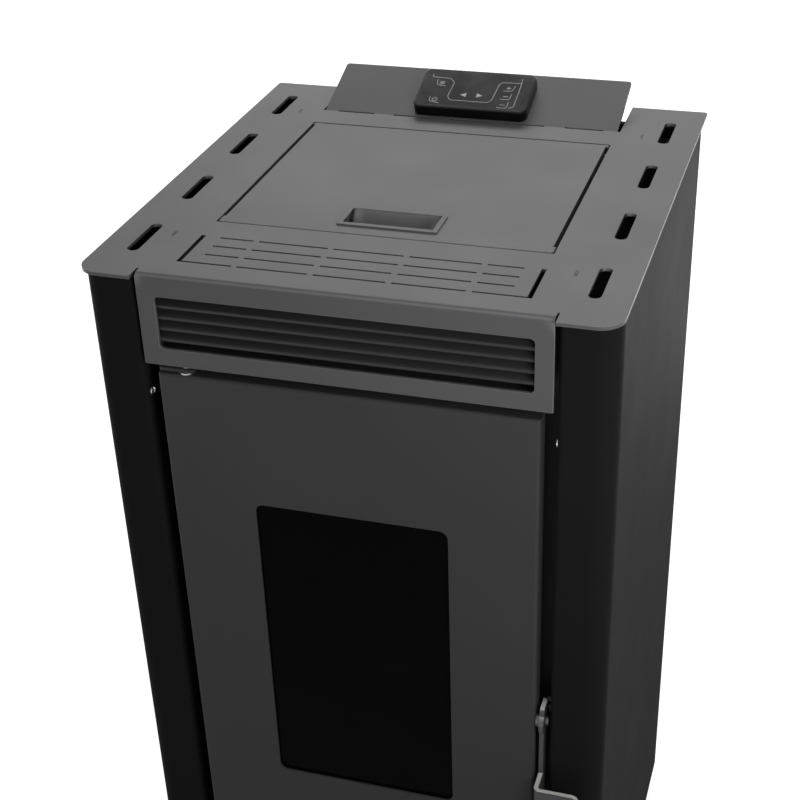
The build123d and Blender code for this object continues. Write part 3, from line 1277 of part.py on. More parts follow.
with BuildPart() as air_intake_pipe:
    stepped_pipe((INTAKE_X, INTAKE_Z), INTAKE_R, INTAKE_REAR, FIREBOX_INNER_REAR)
save(air_intake_pipe, "air_intake_pipe")

# ---------------------------------------------------------------- room-air blower
with BuildPart() as blower_housing:
    case_low = BLOWER_Z - BLOWER_CASE_R
    case_right = BLOWER_RIGHT - DUCT_WALL
    case_left = BLOWER_LEFT + DUCT_WALL
    with BuildSketch(side_plane(case_left)):
        with BuildLine():
            floor_line = Line((FIREBOX_REAR, case_low), (BLOWER_Y, case_low))
            scroll = ThreePointArc(floor_line @ 1, (BLOWER_Y - BLOWER_CASE_R, BLOWER_Z),
                                   (BLOWER_Y, BLOWER_Z + BLOWER_CASE_R))
            offset(amount=DUCT_WALL, side=Side.LEFT)
        make_face()
        folded([(FIREBOX_REAR, BLOWER_Z), (BLOWER_Y + WHEEL_R + TONGUE_GAP, BLOWER_Z),
                (BLOWER_Y + WHEEL_R, BLOWER_Z + TONGUE_RISE)], TONGUE_R, DUCT_WALL, Side.LEFT)
    extrude(amount=case_right - case_left)
    for plate_x in (BLOWER_LEFT, case_right):
        with BuildSketch(side_plane(plate_x)):
            with Locations((BLOWER_Y, BLOWER_Z)):
                Circle(BLOWER_CASE_R + DUCT_WALL)
            span(BLOWER_Y, FIREBOX_REAR, case_low - DUCT_WALL, BLOWER_Z + DUCT_WALL)
            span(BLOWER_Y - BLOWER_FOOT_HALF, BLOWER_Y + BLOWER_FOOT_HALF, DECK_Z, BLOWER_Z)
            with Locations((BLOWER_Y, BLOWER_Z)):
                Circle(SHAFT_R + PIN_CLEARANCE, mode=Mode.SUBTRACT)
        extrude(amount=DUCT_WALL)
save(blower_housing, "blower_housing")

with BuildPart() as blower_impeller:
    wheel_left = BLOWER_LEFT + WHEEL_END_GAP
    wheel_right = BLOWER_RIGHT - WHEEL_END_GAP
    with BuildSketch(side_plane(wheel_left)):
        with Locations((BLOWER_Y, BLOWER_Z)):
            Circle(WHEEL_R)
    extrude(amount=DUCT_WALL)
    with BuildSketch(side_plane(wheel_right - DUCT_WALL)):
        with Locations((BLOWER_Y, BLOWER_Z)):
            Circle(WHEEL_R)
    extrude(amount=DUCT_WALL)
    with BuildSketch(side_plane(wheel_left)):
        with Locations((BLOWER_Y, BLOWER_Z)):
            with PolarLocations(WHEEL_R - WHEEL_EDGE - WHEEL_BLADE_LENGTH / 2, WHEEL_BLADES):
                Rectangle(WHEEL_BLADE_LENGTH, WHEEL_BLADE_T, rotation=WHEEL_BLADE_ANGLE)
    extrude(amount=wheel_right - wheel_left)
    with BuildSketch(side_plane(BLOWER_LEFT - SHAFT_STUB)):
        with Locations((BLOWER_Y, BLOWER_Z)):
            Circle(SHAFT_R)
    extrude(amount=BLOWER_RIGHT - BLOWER_LEFT + SHAFT_STUB + SHAFT_REACH)
save(blower_impeller, "blower_impeller")

with BuildPart() as blower_motor:
    with BuildSketch(side_plane(BLOWER_RIGHT)):
        with Locations((BLOWER_Y, BLOWER_Z)):
            RectangleRounded(2 * (MOTOR_R + MOTOR_FLANGE), 2 * (MOTOR_R + MOTOR_FLANGE), MOTOR_FLANGE_R)
    extrude(amount=MOTOR_FLANGE)
    with BuildSketch(side_plane(BLOWER_RIGHT)):
        with Locations((BLOWER_Y, BLOWER_Z)):
            Circle(MOTOR_R)
    extrude(amount=MOTOR_LENGTH)
    with BuildSketch(side_plane(BLOWER_RIGHT)):
        with Locations((BLOWER_Y, BLOWER_Z)):
            Circle(SHAFT_R + PIN_CLEARANCE)
    extrude(amount=SHAFT_REACH + SHAFT_END_GAP, mode=Mode.SUBTRACT)
save(blower_motor, "blower_motor")

# ---------------------------------------------------------------- exhaust fan
throat_right = EXHAUST_X + EXHAUST_R
throat_left = throat_right - EXHAUST_THROAT


def scroll_outline(inset, low):
    """Fan scroll with its outlet pointing down."""
    with Locations((EXHAUST_X, EXHAUST_Z)):
        Circle(EXHAUST_R - inset)
    span(throat_left + inset, throat_right - inset, low, EXHAUST_Z)


with BuildPart() as exhaust_housing:
    with BuildSketch(front_plane(FIREBOX_REAR + EXHAUST_DEPTH)):
        scroll_outline(0, THROAT_LOW)
    extrude(amount=EXHAUST_DEPTH)
    with BuildSketch(front_plane(FIREBOX_REAR + EXHAUST_DEPTH - EXHAUST_WALL)):
        scroll_outline(EXHAUST_WALL, THROAT_LOW)
    extrude(amount=EXHAUST_DEPTH - 2 * EXHAUST_WALL, mode=Mode.SUBTRACT)
    with BuildSketch(front_plane(FIREBOX_REAR + EXHAUST_WALL)):
        with Locations((EXHAUST_X, EXHAUST_Z)):
            Circle(EXHAUST_INLET_R)
    extrude(amount=EXHAUST_WALL, mode=Mode.SUBTRACT)
    with BuildSketch(front_plane(FIREBOX_REAR + EXHAUST_DEPTH)):
        with Locations((EXHAUST_X, EXHAUST_Z)):
            Circle(SHAFT_R + PIN_CLEARANCE)
    extrude(amount=EXHAUST_WALL, mode=Mode.SUBTRACT)
save(exhaust_housing, "exhaust_housing")

with BuildPart() as exhaust_impeller:
    wheel_back = FIREBOX_REAR + EXHAUST_DEPTH - 3 * EXHAUST_WALL
    with BuildSketch(front_plane(wheel_back)):
        with Locations((EXHAUST_X, EXHAUST_Z)):
            Circle(EXHAUST_WHEEL_R)
    extrude(amount=EXHAUST_DISC_T)
    with BuildSketch(front_plane(wheel_back)):
        with Locations((EXHAUST_X, EXHAUST_Z)):
            Circle(EXHAUST_HUB_R)
    extrude(amount=EXHAUST_HUB_DEPTH)
    with BuildSketch(front_plane(wheel_back)):
        with Locations((EXHAUST_X, EXHAUST_Z)):
            with PolarLocations(EXHAUST_WHEEL_R / 2 + 2 * EXHAUST_BLADE_T, EXHAUST_BLADES):
                Rectangle(EXHAUST_WHEEL_R - EXHAUST_BLADE_INSET, EXHAUST_BLADE_T,
                          rotation=EXHAUST_BLADE_ANGLE)
    extrude(amount=EXHAUST_BLADE_DEPTH)
    with BuildSketch(front_plane(wheel_back + SHAFT_REACH)):
        with Locations((EXHAUST_X, EXHAUST_Z)):
            Circle(SHAFT_R)
    extrude(amount=SHAFT_REACH + EXHAUST_SHAFT_TAIL)
save(exhaust_impeller, "exhaust_impeller")

with BuildPart() as exhaust_motor:
    motor_face = FIREBOX_REAR + EXHAUST_DEPTH
    with BuildSketch(front_plane(motor_face)):
        with Locations((EXHAUST_X, EXHAUST_Z)):
            RectangleRounded(2 * (MOTOR_R + MOTOR_FLANGE), 2 * (MOTOR_R + MOTOR_FLANGE), MOTOR_FLANGE_R)
    extrude(amount=-MOTOR_FLANGE)
    with BuildSketch(front_plane(motor_face)):
        with Locations((EXHAUST_X, EXHAUST_Z)):
            Circle(MOTOR_R)
    extrude(amount=-MOTOR_LENGTH)
    with BuildSketch(front_plane(motor_face)):
        with Locations((EXHAUST_X, EXHAUST_Z)):
            Circle(SHAFT_R + PIN_CLEARANCE)
    extrude(amount=-SHAFT_REACH - SHAFT_END_GAP, mode=Mode.SUBTRACT)
save(exhaust_motor, "exhaust_motor")

with BuildPart() as flue_outlet:
    box_x = (FLUE_X - FLUE_BOX / 2, FLUE_X + FLUE_BOX / 2)
    box_rear = FIREBOX_REAR + EXHAUST_DEPTH
    block(box_x, (FIREBOX_REAR, box_rear), (THROAT_LOW - FLUE_BOX, THROAT_LOW))
    block((box_x[0] + FLUE_WALL, box_x[1] - FLUE_WALL), (FIREBOX_REAR + FLUE_WALL, box_rear - FLUE_WALL),
          (THROAT_LOW - FLUE_BOX + FLUE_WALL, THROAT_LOW - FLUE_WALL), mode=Mode.SUBTRACT)
    block((throat_left + EXHAUST_WALL, throat_right - EXHAUST_WALL),
          (FIREBOX_REAR + EXHAUST_WALL, box_rear - EXHAUST_WALL),
          (THROAT_LOW - 2 * FLUE_WALL, THROAT_LOW), mode=Mode.SUBTRACT)
    with BuildSketch(front_plane(box_rear)):
        with Locations((FLUE_X, FLUE_Z)):
            Circle(FLUE_R - PIPE_STEP - PIPE_WALL)
    extrude(amount=FLUE_WALL, mode=Mode.SUBTRACT)
    stepped_pipe((FLUE_X, FLUE_Z), FLUE_R, FLUE_REAR, box_rear)
save(flue_outlet, "flue_outlet")

# ---------------------------------------------------------------- door
door_back = FACE_Y + DOOR_T
with BuildPart() as door_panel:
    block((-DOOR_HALF, DOOR_HALF), (FACE_Y, FACE_Y + DOOR_DEPTH), (DOOR_BOTTOM, DOOR_TOP))
    fillet(faces().sort_by(Axis.Y)[0].edges(), DOOR_EDGE_R)
    offset(amount=-DOOR_T, openings=faces().sort_by(Axis.Y)[-1])
    with BuildSketch(front_plane(door_back + PUNCH)):
        with Locations((0, (GLASS_TOP + GLASS_BOTTOM) / 2)):
            RectangleRounded(2 * GLASS_HALF, GLASS_TOP - GLASS_BOTTOM, GLASS_R)
    extrude(amount=DOOR_T + 2 * PUNCH, mode=Mode.SUBTRACT)
    with BuildSketch(side_plane(DOOR_HALF - 2 * DOOR_T)):
        with Locations((HINGE_Y, PIVOT_Z)):
            Circle(PIVOT_R + PIN_CLEARANCE)
    extrude(amount=3 * DOOR_T, mode=Mode.SUBTRACT)
save(door_panel, "door_panel")

with BuildPart() as glass_gasket:
    with BuildSketch(front_plane(door_back + GLASS_SEAL)):
        frame_ring(GLASS_PLATE_HALF, GLASS_PLATE_HALF - GLASS_SEAL_WIDTH,
                   (GLASS_BOTTOM - GLASS_LAP, GLASS_TOP + GLASS_LAP),
                   (GLASS_BOTTOM - GLASS_LAP + GLASS_SEAL_WIDTH, GLASS_TOP + GLASS_LAP - GLASS_SEAL_WIDTH),
                   GLASS_R, GLASS_R / 2)
    extrude(amount=GLASS_SEAL)
save(glass_gasket, "glass_gasket")

with BuildPart() as door_glass:
    glass_front = door_back + GLASS_SEAL
    with BuildSketch(front_plane(glass_front + GLASS_T)):
        with Locations((0, (GLASS_TOP + GLASS_BOTTOM) / 2)):
            RectangleRounded(2 * GLASS_PLATE_HALF, GLASS_TOP - GLASS_BOTTOM + 2 * GLASS_LAP, GLASS_R)
    extrude(amount=GLASS_T)
save(door_glass, "door_glass")

with BuildPart() as glass_clips:
    clip_low = door_back
    clip_high = glass_front + GLASS_T
    for side in (-1, 1):
        for clip_z in (GLASS_BOTTOM + CLIP_END, (GLASS_TOP + GLASS_BOTTOM) / 2, GLASS_TOP - CLIP_END):
            bend_x = GLASS_PLATE_HALF + CLIP_GAP + CLIP_T
            line = [(side * (GLASS_PLATE_HALF + CLIP_FOOT), clip_low + CLIP_T),
                    (side * bend_x, clip_low + CLIP_T), (side * bend_x, clip_high + CLIP_T),
                    (side * (GLASS_PLATE_HALF - CLIP_LAP), clip_high + CLIP_T)]
            with BuildSketch(level(clip_z - CLIP_LENGTH / 2)):
                with BuildLine():
                    Polyline(*line)
                    offset(amount=CLIP_T, kind=Kind.INTERSECTION,
                           side=Side.LEFT if side > 0 else Side.RIGHT)
                make_face()
            extrude(amount=CLIP_LENGTH)
save(glass_clips, "glass_clips")

with BuildPart() as door_inner_frame:
    block((-INNER_HALF, INNER_HALF), (door_back, INNER_BACK), (INNER_BOTTOM, INNER_TOP))
    fillet(edges().filter_by(Axis.Y), GLASS_R)
    pocket = (-INNER_HALF + INNER_FLANGE, INNER_HALF - INNER_FLANGE)
    with BuildSketch(front_plane(INNER_BACK - INNER_T)):
        with Locations((0, (INNER_TOP + INNER_BOTTOM) / 2)):
            RectangleRounded(pocket[1] - pocket[0], INNER_TOP - INNER_BOTTOM - 2 * INNER_FLANGE,
                             GLASS_R - INNER_FLANGE)
    extrude(amount=INNER_BACK - INNER_T - door_back, mode=Mode.SUBTRACT)
    with BuildSketch(front_plane(INNER_BACK)):
        with Locations((0, (INNER_HOLE_TOP + INNER_HOLE_BOTTOM) / 2)):
            RectangleRounded(2 * INNER_HOLE_HALF, INNER_HOLE_TOP - INNER_HOLE_BOTTOM, GLASS_R)
    extrude(amount=INNER_T, mode=Mode.SUBTRACT)
save(door_inner_frame, "door_inner_frame")

with BuildPart() as door_gasket:
    rope_back = FRAME_Y - ROPE_GAP
    with BuildSketch(front_plane(rope_back)):
        frame_ring(ROPE_OUTER_HALF, ROPE_OUTER_HALF - ROPE_WIDTH, (ROPE_BOTTOM, ROPE_TOP),
                   (ROPE_BOTTOM + ROPE_WIDTH, ROPE_TOP - ROPE_WIDTH), GLASS_R + ROPE_WIDTH / 2, GLASS_R)
    extrude(amount=rope_back - INNER_BACK)
    fillet(faces().sort_by(Axis.Y)[-1].edges(), 0.45 * ROPE_WIDTH)
save(door_gasket, "door_gasket")

with BuildPart() as door_hinge_brackets:
    for plate_low in (DOOR_TOP + HINGE_WASHER + RUNNING_GAP,
                      DOOR_BOTTOM - HINGE_WASHER - RUNNING_GAP - HINGE_PLATE_T):
        with BuildSketch(level(plate_low)):
            span(-DOOR_HALF, HINGE_X + HINGE_PLATE_REACH, FACE_Y + DOOR_T, FRAME_Y)
            fillet(vertices().group_by(Axis.Y)[0], RETURN_R)
            with Locations((HINGE_X, HINGE_Y)):
                Circle(HINGE_PIN_R + PIN_CLEARANCE, mode=Mode.SUBTRACT)
        extrude(amount=HINGE_PLATE_T)
save(door_hinge_brackets, "door_hinge_brackets")

with BuildPart() as door_hinge_pins:
    for seat, up in ((DOOR_TOP, 1), (DOOR_BOTTOM, -1)):
        pin_plane = Plane(origin=(HINGE_X, HINGE_Y, seat), x_dir=(1, 0, 0), z_dir=(0, 0, up))
        with BuildSketch(pin_plane):
            Circle(HINGE_WASHER_R)
        extrude(amount=HINGE_WASHER)
        with BuildSketch(pin_plane):
            Circle(HINGE_PIN_R)
        extrude(amount=HINGE_WASHER + RUNNING_GAP + HINGE_PLATE_T + HINGE_PIN_PROUD)
    chamfer(edges().filter_by(GeomType.CIRCLE).group_by(Axis.Z)[-1], HINGE_PIN_CHAMFER)
    chamfer(edges().filter_by(GeomType.CIRCLE).group_by(Axis.Z)[0], HINGE_PIN_CHAMFER)
save(door_hinge_pins, "door_hinge_pins")

# ---------------------------------------------------------------- latch
lever_back = FACE_Y + DOOR_DEPTH
pivot = (HINGE_Y, PIVOT_Z)
slot_inner = CATCH_REACH - CATCH_R - CATCH_CLEARANCE
slot_outer = CATCH_REACH + CATCH_R + CATCH_CLEARANCE
with BuildPart() as latch_lever:
    with BuildSketch(side_plane(LEVER_X)):
        span(FACE_Y, lever_back, PADDLE_BOTTOM, LEVER_TOP)
        fillet(vertices().group_by(Axis.Y)[-1], SHEET_CORNER_R)
        with Locations(pivot):
            Circle(slot_inner)
        ring_sector(pivot, slot_inner - CATCH_CLEARANCE, slot_outer + HOOK_WIDTH, -HOOK_FOOT,
                    HOOK_FOOT + HOOK_TIP)
        # The catch pin rides in a ring-shaped slot about the pivot, open at its top
        ring_sector(pivot, slot_inner, slot_outer, 0, HOOK_MOUTH, mode=Mode.SUBTRACT)
        with Locations((HINGE_Y + CATCH_REACH, PIVOT_Z)):
            Circle(CATCH_R + CATCH_CLEARANCE, mode=Mode.SUBTRACT)
        with Locations(pivot):
            Circle(PIVOT_R + PIN_CLEARANCE, mode=Mode.SUBTRACT)
    extrude(amount=LEVER_T)
    with BuildSketch(level(PADDLE_BOTTOM)):
        folded([(LEVER_X, lever_back), (LEVER_X, PADDLE_FRONT), (PADDLE_RIGHT, PADDLE_FRONT)],
               LEVER_BEND_R, LEVER_T, Side.LEFT)
    extrude(amount=PADDLE_TOP - PADDLE_BOTTOM)
    paddle_corners = edges().filter_by(Axis.Y).group_by(Axis.X)[-1]
    fillet(paddle_corners, PADDLE_R)
save(latch_lever, "latch_lever")

with BuildPart() as latch_pivot_bolt:
    flange_in = DOOR_HALF - DOOR_T
    lever_out = LEVER_X + LEVER_T + RUNNING_GAP
    steps = [(flange_in - BOLT_HEAD, flange_in, BOLT_HEAD_R),  # nut inside the door
             (flange_in, DOOR_HALF, PIVOT_R),
             (DOOR_HALF, LEVER_X - RUNNING_GAP, SPACER_R),
             (LEVER_X - RUNNING_GAP, lever_out, PIVOT_R),
             (lever_out, lever_out + BOLT_HEAD, BOLT_HEAD_R)]
    for low, high, radius in steps:
        with BuildSketch(side_plane(low)):
            with Locations(pivot):
                Circle(radius)
        extrude(amount=high - low)
    fillet(edges().filter_by(GeomType.CIRCLE).group_by(Axis.X)[-1], BOLT_HEAD / 3)
save(latch_pivot_bolt, "latch_pivot_bolt")

with BuildPart() as catch_pin:
    catch_tip = DOOR_HALF + (LEVER_X - DOOR_HALF) / 2
    with BuildSketch(side_plane(catch_tip)):
        with Locations((HINGE_Y + CATCH_REACH, PIVOT_Z)):
            Circle(CATCH_R)
    extrude(amount=COLUMN_X - catch_tip)
    chamfer(edges().filter_by(GeomType.CIRCLE).group_by(Axis.X)[0], CATCH_R / 5)
save(catch_pin, "catch_pin")

# ---------------------------------------------------------------- controls and fittings
with BuildPart() as control_board:
    wall_in = BODY_HALF - SHEET
    board_out = wall_in - BOARD_STANDOFF
    board_in = board_out - BOARD_T
    with BuildSketch(side_plane(board_in)):
        with Locations((BOARD_Y, BOARD_Z)):
            RectangleRounded(BOARD_WIDTH, BOARD_HEIGHT, SHEET_CORNER_R)
    extrude(amount=BOARD_T)
    with BuildSketch(side_plane(board_out)):
        with Locations((BOARD_Y, BOARD_Z)):
            with GridLocations(BOARD_WIDTH - 2 * STANDOFF_INSET, BOARD_HEIGHT - 2 * STANDOFF_INSET, 2, 2):
                Circle(STANDOFF_R)
    extrude(amount=BOARD_STANDOFF)
    # Transformer, relays, capacitors and the terminal row stand on the inner face
    with BuildSketch(side_plane(board_in)):
        with Locations((BOARD_Y + TRANSFORMER[0], BOARD_Z + TRANSFORMER[1])):
            Rectangle(TRANSFORMER_WIDTH, TRANSFORMER_HEIGHT)
    extrude(amount=-TRANSFORMER_DEPTH)
    with BuildSketch(side_plane(board_in)):
        with Locations((BOARD_Y + RELAYS[0], BOARD_Z + RELAYS[1])):
            with GridLocations(RELAY_PITCH, RELAY_ROW_PITCH, 2, 3):
                Rectangle(RELAY_WIDTH, RELAY_LENGTH)
    extrude(amount=-RELAY_DEPTH)
    with BuildSketch(side_plane(board_in)):
        with Locations((BOARD_Y + CAPACITORS[0], BOARD_Z + CAPACITORS[1])):
            with GridLocations(CAPACITOR_PITCH, CAPACITOR_ROW_PITCH, 2, 2):
                Circle(CAPACITOR_R)
    extrude(amount=-CAPACITOR_DEPTH)
    with BuildSketch(side_plane(board_in)):
        with Locations((BOARD_Y, BOARD_Z - BOARD_HEIGHT / 2 + TERMINAL_DEPTH)):
            with GridLocations(TERMINAL_PITCH, 0, TERMINAL_COUNT, 1):
                Rectangle(TERMINAL_WIDTH, TERMINAL_DEPTH)
    extrude(amount=-TERMINAL_DEPTH)
save(control_board, "control_board")

with BuildPart() as pressure_switch:
    switch_wall = -BODY_HALF + SHEET
    body_start = switch_wall + SWITCH_SEAT_T
    cap_start = body_start + SWITCH_BODY_T
    for start, length, radius in ((switch_wall, SWITCH_SEAT_T, SWITCH_R - SWITCH_SEAT_STEP),
                                  (body_start, SWITCH_BODY_T, SWITCH_R),
                                  (cap_start, SWITCH_CAP_T, SWITCH_R - SWITCH_CAP_STEP)):
        with BuildSketch(side_plane(start)):
            with Locations((SWITCH_Y, SWITCH_Z)):
                Circle(radius)
        extrude(amount=length)
    with BuildSketch(side_plane(cap_start + SWITCH_CAP_T)):
        with Locations((SWITCH_Y - NIPPLE_X, SWITCH_Z), (SWITCH_Y + NIPPLE_X, SWITCH_Z)):
            Circle(NIPPLE_R)
    extrude(amount=NIPPLE_LENGTH)
save(pressure_switch, "pressure_switch")

with BuildPart() as power_inlet:
    bezel_out = PANEL_OUT + INLET_BEZEL_T
    inlet_end = PANEL_OUT - INLET_DEPTH
    inner_width = INLET_WIDTH - 2 * INLET_WALL
    with BuildSketch(front_plane(PANEL_OUT)):
        with Locations((SERVICE_X, INLET_Z)):
            RectangleRounded(INLET_WIDTH + 2 * INLET_RIM, INLET_HEIGHT + 2 * INLET_RIM_END, SHEET_CORNER_R)
    extrude(amount=-INLET_BEZEL_T)
    with BuildSketch(front_plane(PANEL_OUT)):
        with Locations((SERVICE_X, INLET_Z)):
            Rectangle(INLET_WIDTH - 2 * TAB_CLEARANCE, INLET_HEIGHT - 2 * TAB_CLEARANCE)
    extrude(amount=INLET_DEPTH)
    # Socket with its three pins below, rocker switch above
    with BuildSketch(front_plane(bezel_out)):
        with Locations((SERVICE_X, INLET_Z - SOCKET_DROP)):
            Rectangle(inner_width, SOCKET_HEIGHT)
            fillet(vertices().group_by(Axis.Z)[0], SOCKET_CORNER_R)
    extrude(amount=bezel_out - inlet_end - SOCKET_FLOOR, mode=Mode.SUBTRACT)
    with BuildSketch(front_plane(inlet_end + SOCKET_FLOOR)):
        with Locations((SERVICE_X, INLET_Z - SOCKET_DROP)):
            with GridLocations(PIN_PITCH, 0, 3, 1):
                Rectangle(PIN_WIDTH, PIN_HEIGHT)
    extrude(amount=-(INLET_DEPTH - PIN_END_GAP))
    with BuildSketch(front_plane(bezel_out)):
        with Locations((SERVICE_X, INLET_Z + ROCKER_RISE)):
            Rectangle(inner_width, ROCKER_HEIGHT)
    extrude(amount=-ROCKER_PROUD, taper=ROCKER_TAPER)
save(power_inlet, "power_inlet")

with BuildPart() as overheat_thermostat:
    with BuildSketch(front_plane(PANEL_OUT)):
        with Locations((SERVICE_X, THERMOSTAT_Z)):
            Circle(THERMOSTAT_R + THERMOSTAT_RIM)
    extrude(amount=-THERMOSTAT_CAP)
    fillet(edges().filter_by(GeomType.CIRCLE).group_by(Axis.Y)[-1], THERMOSTAT_EDGE_R)
    with BuildSketch(front_plane(PANEL_OUT)):
        with Locations((SERVICE_X, THERMOSTAT_Z)):
            Circle(THERMOSTAT_R - TAB_CLEARANCE)
    extrude(amount=THERMOSTAT_DEPTH)
save(overheat_thermostat, "overheat_thermostat")
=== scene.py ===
"""Looks of the pellet stove: materials, trim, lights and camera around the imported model."""
import json
import math

import bmesh
import bpy
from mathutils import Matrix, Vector


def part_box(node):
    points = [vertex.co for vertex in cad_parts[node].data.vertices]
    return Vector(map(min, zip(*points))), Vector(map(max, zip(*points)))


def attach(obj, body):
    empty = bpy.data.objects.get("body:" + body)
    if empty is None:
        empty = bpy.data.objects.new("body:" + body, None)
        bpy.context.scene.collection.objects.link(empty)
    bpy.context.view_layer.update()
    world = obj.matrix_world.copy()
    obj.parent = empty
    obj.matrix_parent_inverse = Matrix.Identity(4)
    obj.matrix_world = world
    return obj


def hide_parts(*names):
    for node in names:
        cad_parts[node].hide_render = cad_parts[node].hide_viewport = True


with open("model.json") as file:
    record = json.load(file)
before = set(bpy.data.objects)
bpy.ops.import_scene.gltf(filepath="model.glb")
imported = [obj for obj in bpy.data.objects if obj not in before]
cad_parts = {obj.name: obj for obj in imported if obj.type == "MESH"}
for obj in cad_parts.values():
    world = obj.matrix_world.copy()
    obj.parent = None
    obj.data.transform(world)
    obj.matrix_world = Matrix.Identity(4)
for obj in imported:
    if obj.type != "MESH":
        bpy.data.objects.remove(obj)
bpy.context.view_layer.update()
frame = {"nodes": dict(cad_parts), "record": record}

MM = 0.001
BEVEL_SAMPLES = 4
OPENNESS_SAMPLES = 6
NARROW = 4.5 * MM  # reach of the painted shade in slits and corners
WIDE = 12.0 * MM  # reach that tells a slot's wall from an outer edge
SHUT = 0.45  # openness up to which a spot counts as closed in
OPEN = 0.75  # openness from which it counts as open
FINE_GRAIN = (900.0, 900.0, 900.0)
SLOT_WALL_SHADE = 0.10  # brightness of the painted shade on the slots' long walls as a share of the paint's own, as are the next two: painted shade in slits and painted highlight on the front bend
SHADED = 0.08
BEND_HIGHLIGHT = 1.9
# Tone of the dust, and of the painted highlight on upward faces
DUST_AND_HIGHLIGHT = (1.0, 0.98, 0.95)
RUST = (0.10, 0.055, 0.03)
TABS_DARK_ABOVE = 855.5 * MM


# ---------------------------------------------------------------- node helpers
class Tree:
    """Node tree of a material or of the world, with short calls for what all of them share."""

    def __init__(self, owner):
        owner.use_nodes = True
        self.tree = owner.node_tree
        self.tree.nodes.clear()

    def feed(self, socket, source):
        """A socket takes a number or a colour as it is, and another node's output by a link."""
        if isinstance(source, (int, float, tuple)):
            socket.default_value = source
        else:
            self.tree.links.new(source, socket)

    def add(self, kind, *sources, **named):
        """New node, whose first sockets take the sources in order, and others by name."""
        node = self.tree.nodes.new(kind)
        for socket, source in zip(node.inputs, sources):
            self.feed(socket, source)
        for name, source in named.items():
            self.feed(node.inputs[name], source)
        return node

    def remap(self, value, low, high, start=0.0, end=1.0):
        """Low where the value is at start, high where it is at end, and held beyond both."""
        return self.add("ShaderNodeMapRange", value, start, end, low, high).outputs[0]

    def maths(self, operation, a, b):
        node = self.add("ShaderNodeMath", a, b)
        node.operation = operation
        return node.outputs[0]

    def vector(self, operation, *sources):
        node = self.add("ShaderNodeVectorMath", *sources)
        node.operation = operation
        return node

    def split(self, vector):
        """A vector's outputs X, Y and Z."""
        return self.add("ShaderNodeSeparateXYZ", vector).outputs


class Finish(Tree):
    """Material of the object, with its patterns placed by the object's own coordinates.

    The scales of noise and cells are per metre."""

    def __init__(self, name):
        self.material = bpy.data.materials.new(name)
        super().__init__(self.material)
        self.shader = self.add("ShaderNodeBsdfPrincipled")
        self.add("ShaderNodeOutputMaterial", self.shader.outputs[0])
        self.place = self.add("ShaderNodeTexCoord").outputs["Object"]

    def put(self, socket, source):
        """The shader's own socket takes a number that is the same all over, or a pattern."""
        self.feed(self.shader.inputs[socket], source)

    def stretched(self, scale):
        """The object's coordinates, scaled by axis."""
        return self.add("ShaderNodeMapping", Vector=self.place, Scale=scale).outputs[0]

    def noise(self, scale, detail=2.0, rough=0.5, vector=None):
        return self.add("ShaderNodeTexNoise", Vector=vector or self.place, Scale=scale, Detail=detail,
                        Roughness=rough).outputs["Fac"]

    def cells(self, scale, feature="F1"):
        """Outputs of Voronoi cells: the colour of each, and the distance to its middle or its edge."""
        node = self.add("ShaderNodeTexVoronoi", Vector=self.place, Scale=scale)
        node.feature = feature
        return node.outputs

    def blend(self, factor, dark, light):
        """Colour between two, by a value from 0 to 1."""
        node = self.add("ShaderNodeMix")
        node.data_type = "RGBA"
        for socket, source in (("Factor", factor), ("A", dark), ("B", light)):
            self.feed(node.inputs[socket], (*source, 1.0) if isinstance(source, tuple) else source)
        return node.outputs["Result"]

    def soft_edges(self, radius):
        """Normals that turn round the piece's edges at a radius."""
        bevel = self.add("ShaderNodeBevel", Radius=radius)
        bevel.samples = BEVEL_SAMPLES
        return bevel.outputs[0]

    def openness(self, reach):
        """How little of the piece itself stands within reach: low in slits and corners."""
        node = self.add("ShaderNodeAmbientOcclusion", Distance=reach)
        node.only_local = True
        node.samples = OPENNESS_SAMPLES
        return node.outputs["AO"]

    def bump(self, height, strength, distance, normal=None):
        node = self.add("ShaderNodeBump", Strength=strength, Distance=distance, Height=height)
        if normal is not None:
            self.feed(node.inputs["Normal"], normal)
        return node.outputs[0]


def tint(colour, share):
    """Colour made darker or lighter by a share."""
    return tuple(min(1.0, channel * share) for channel in colour)


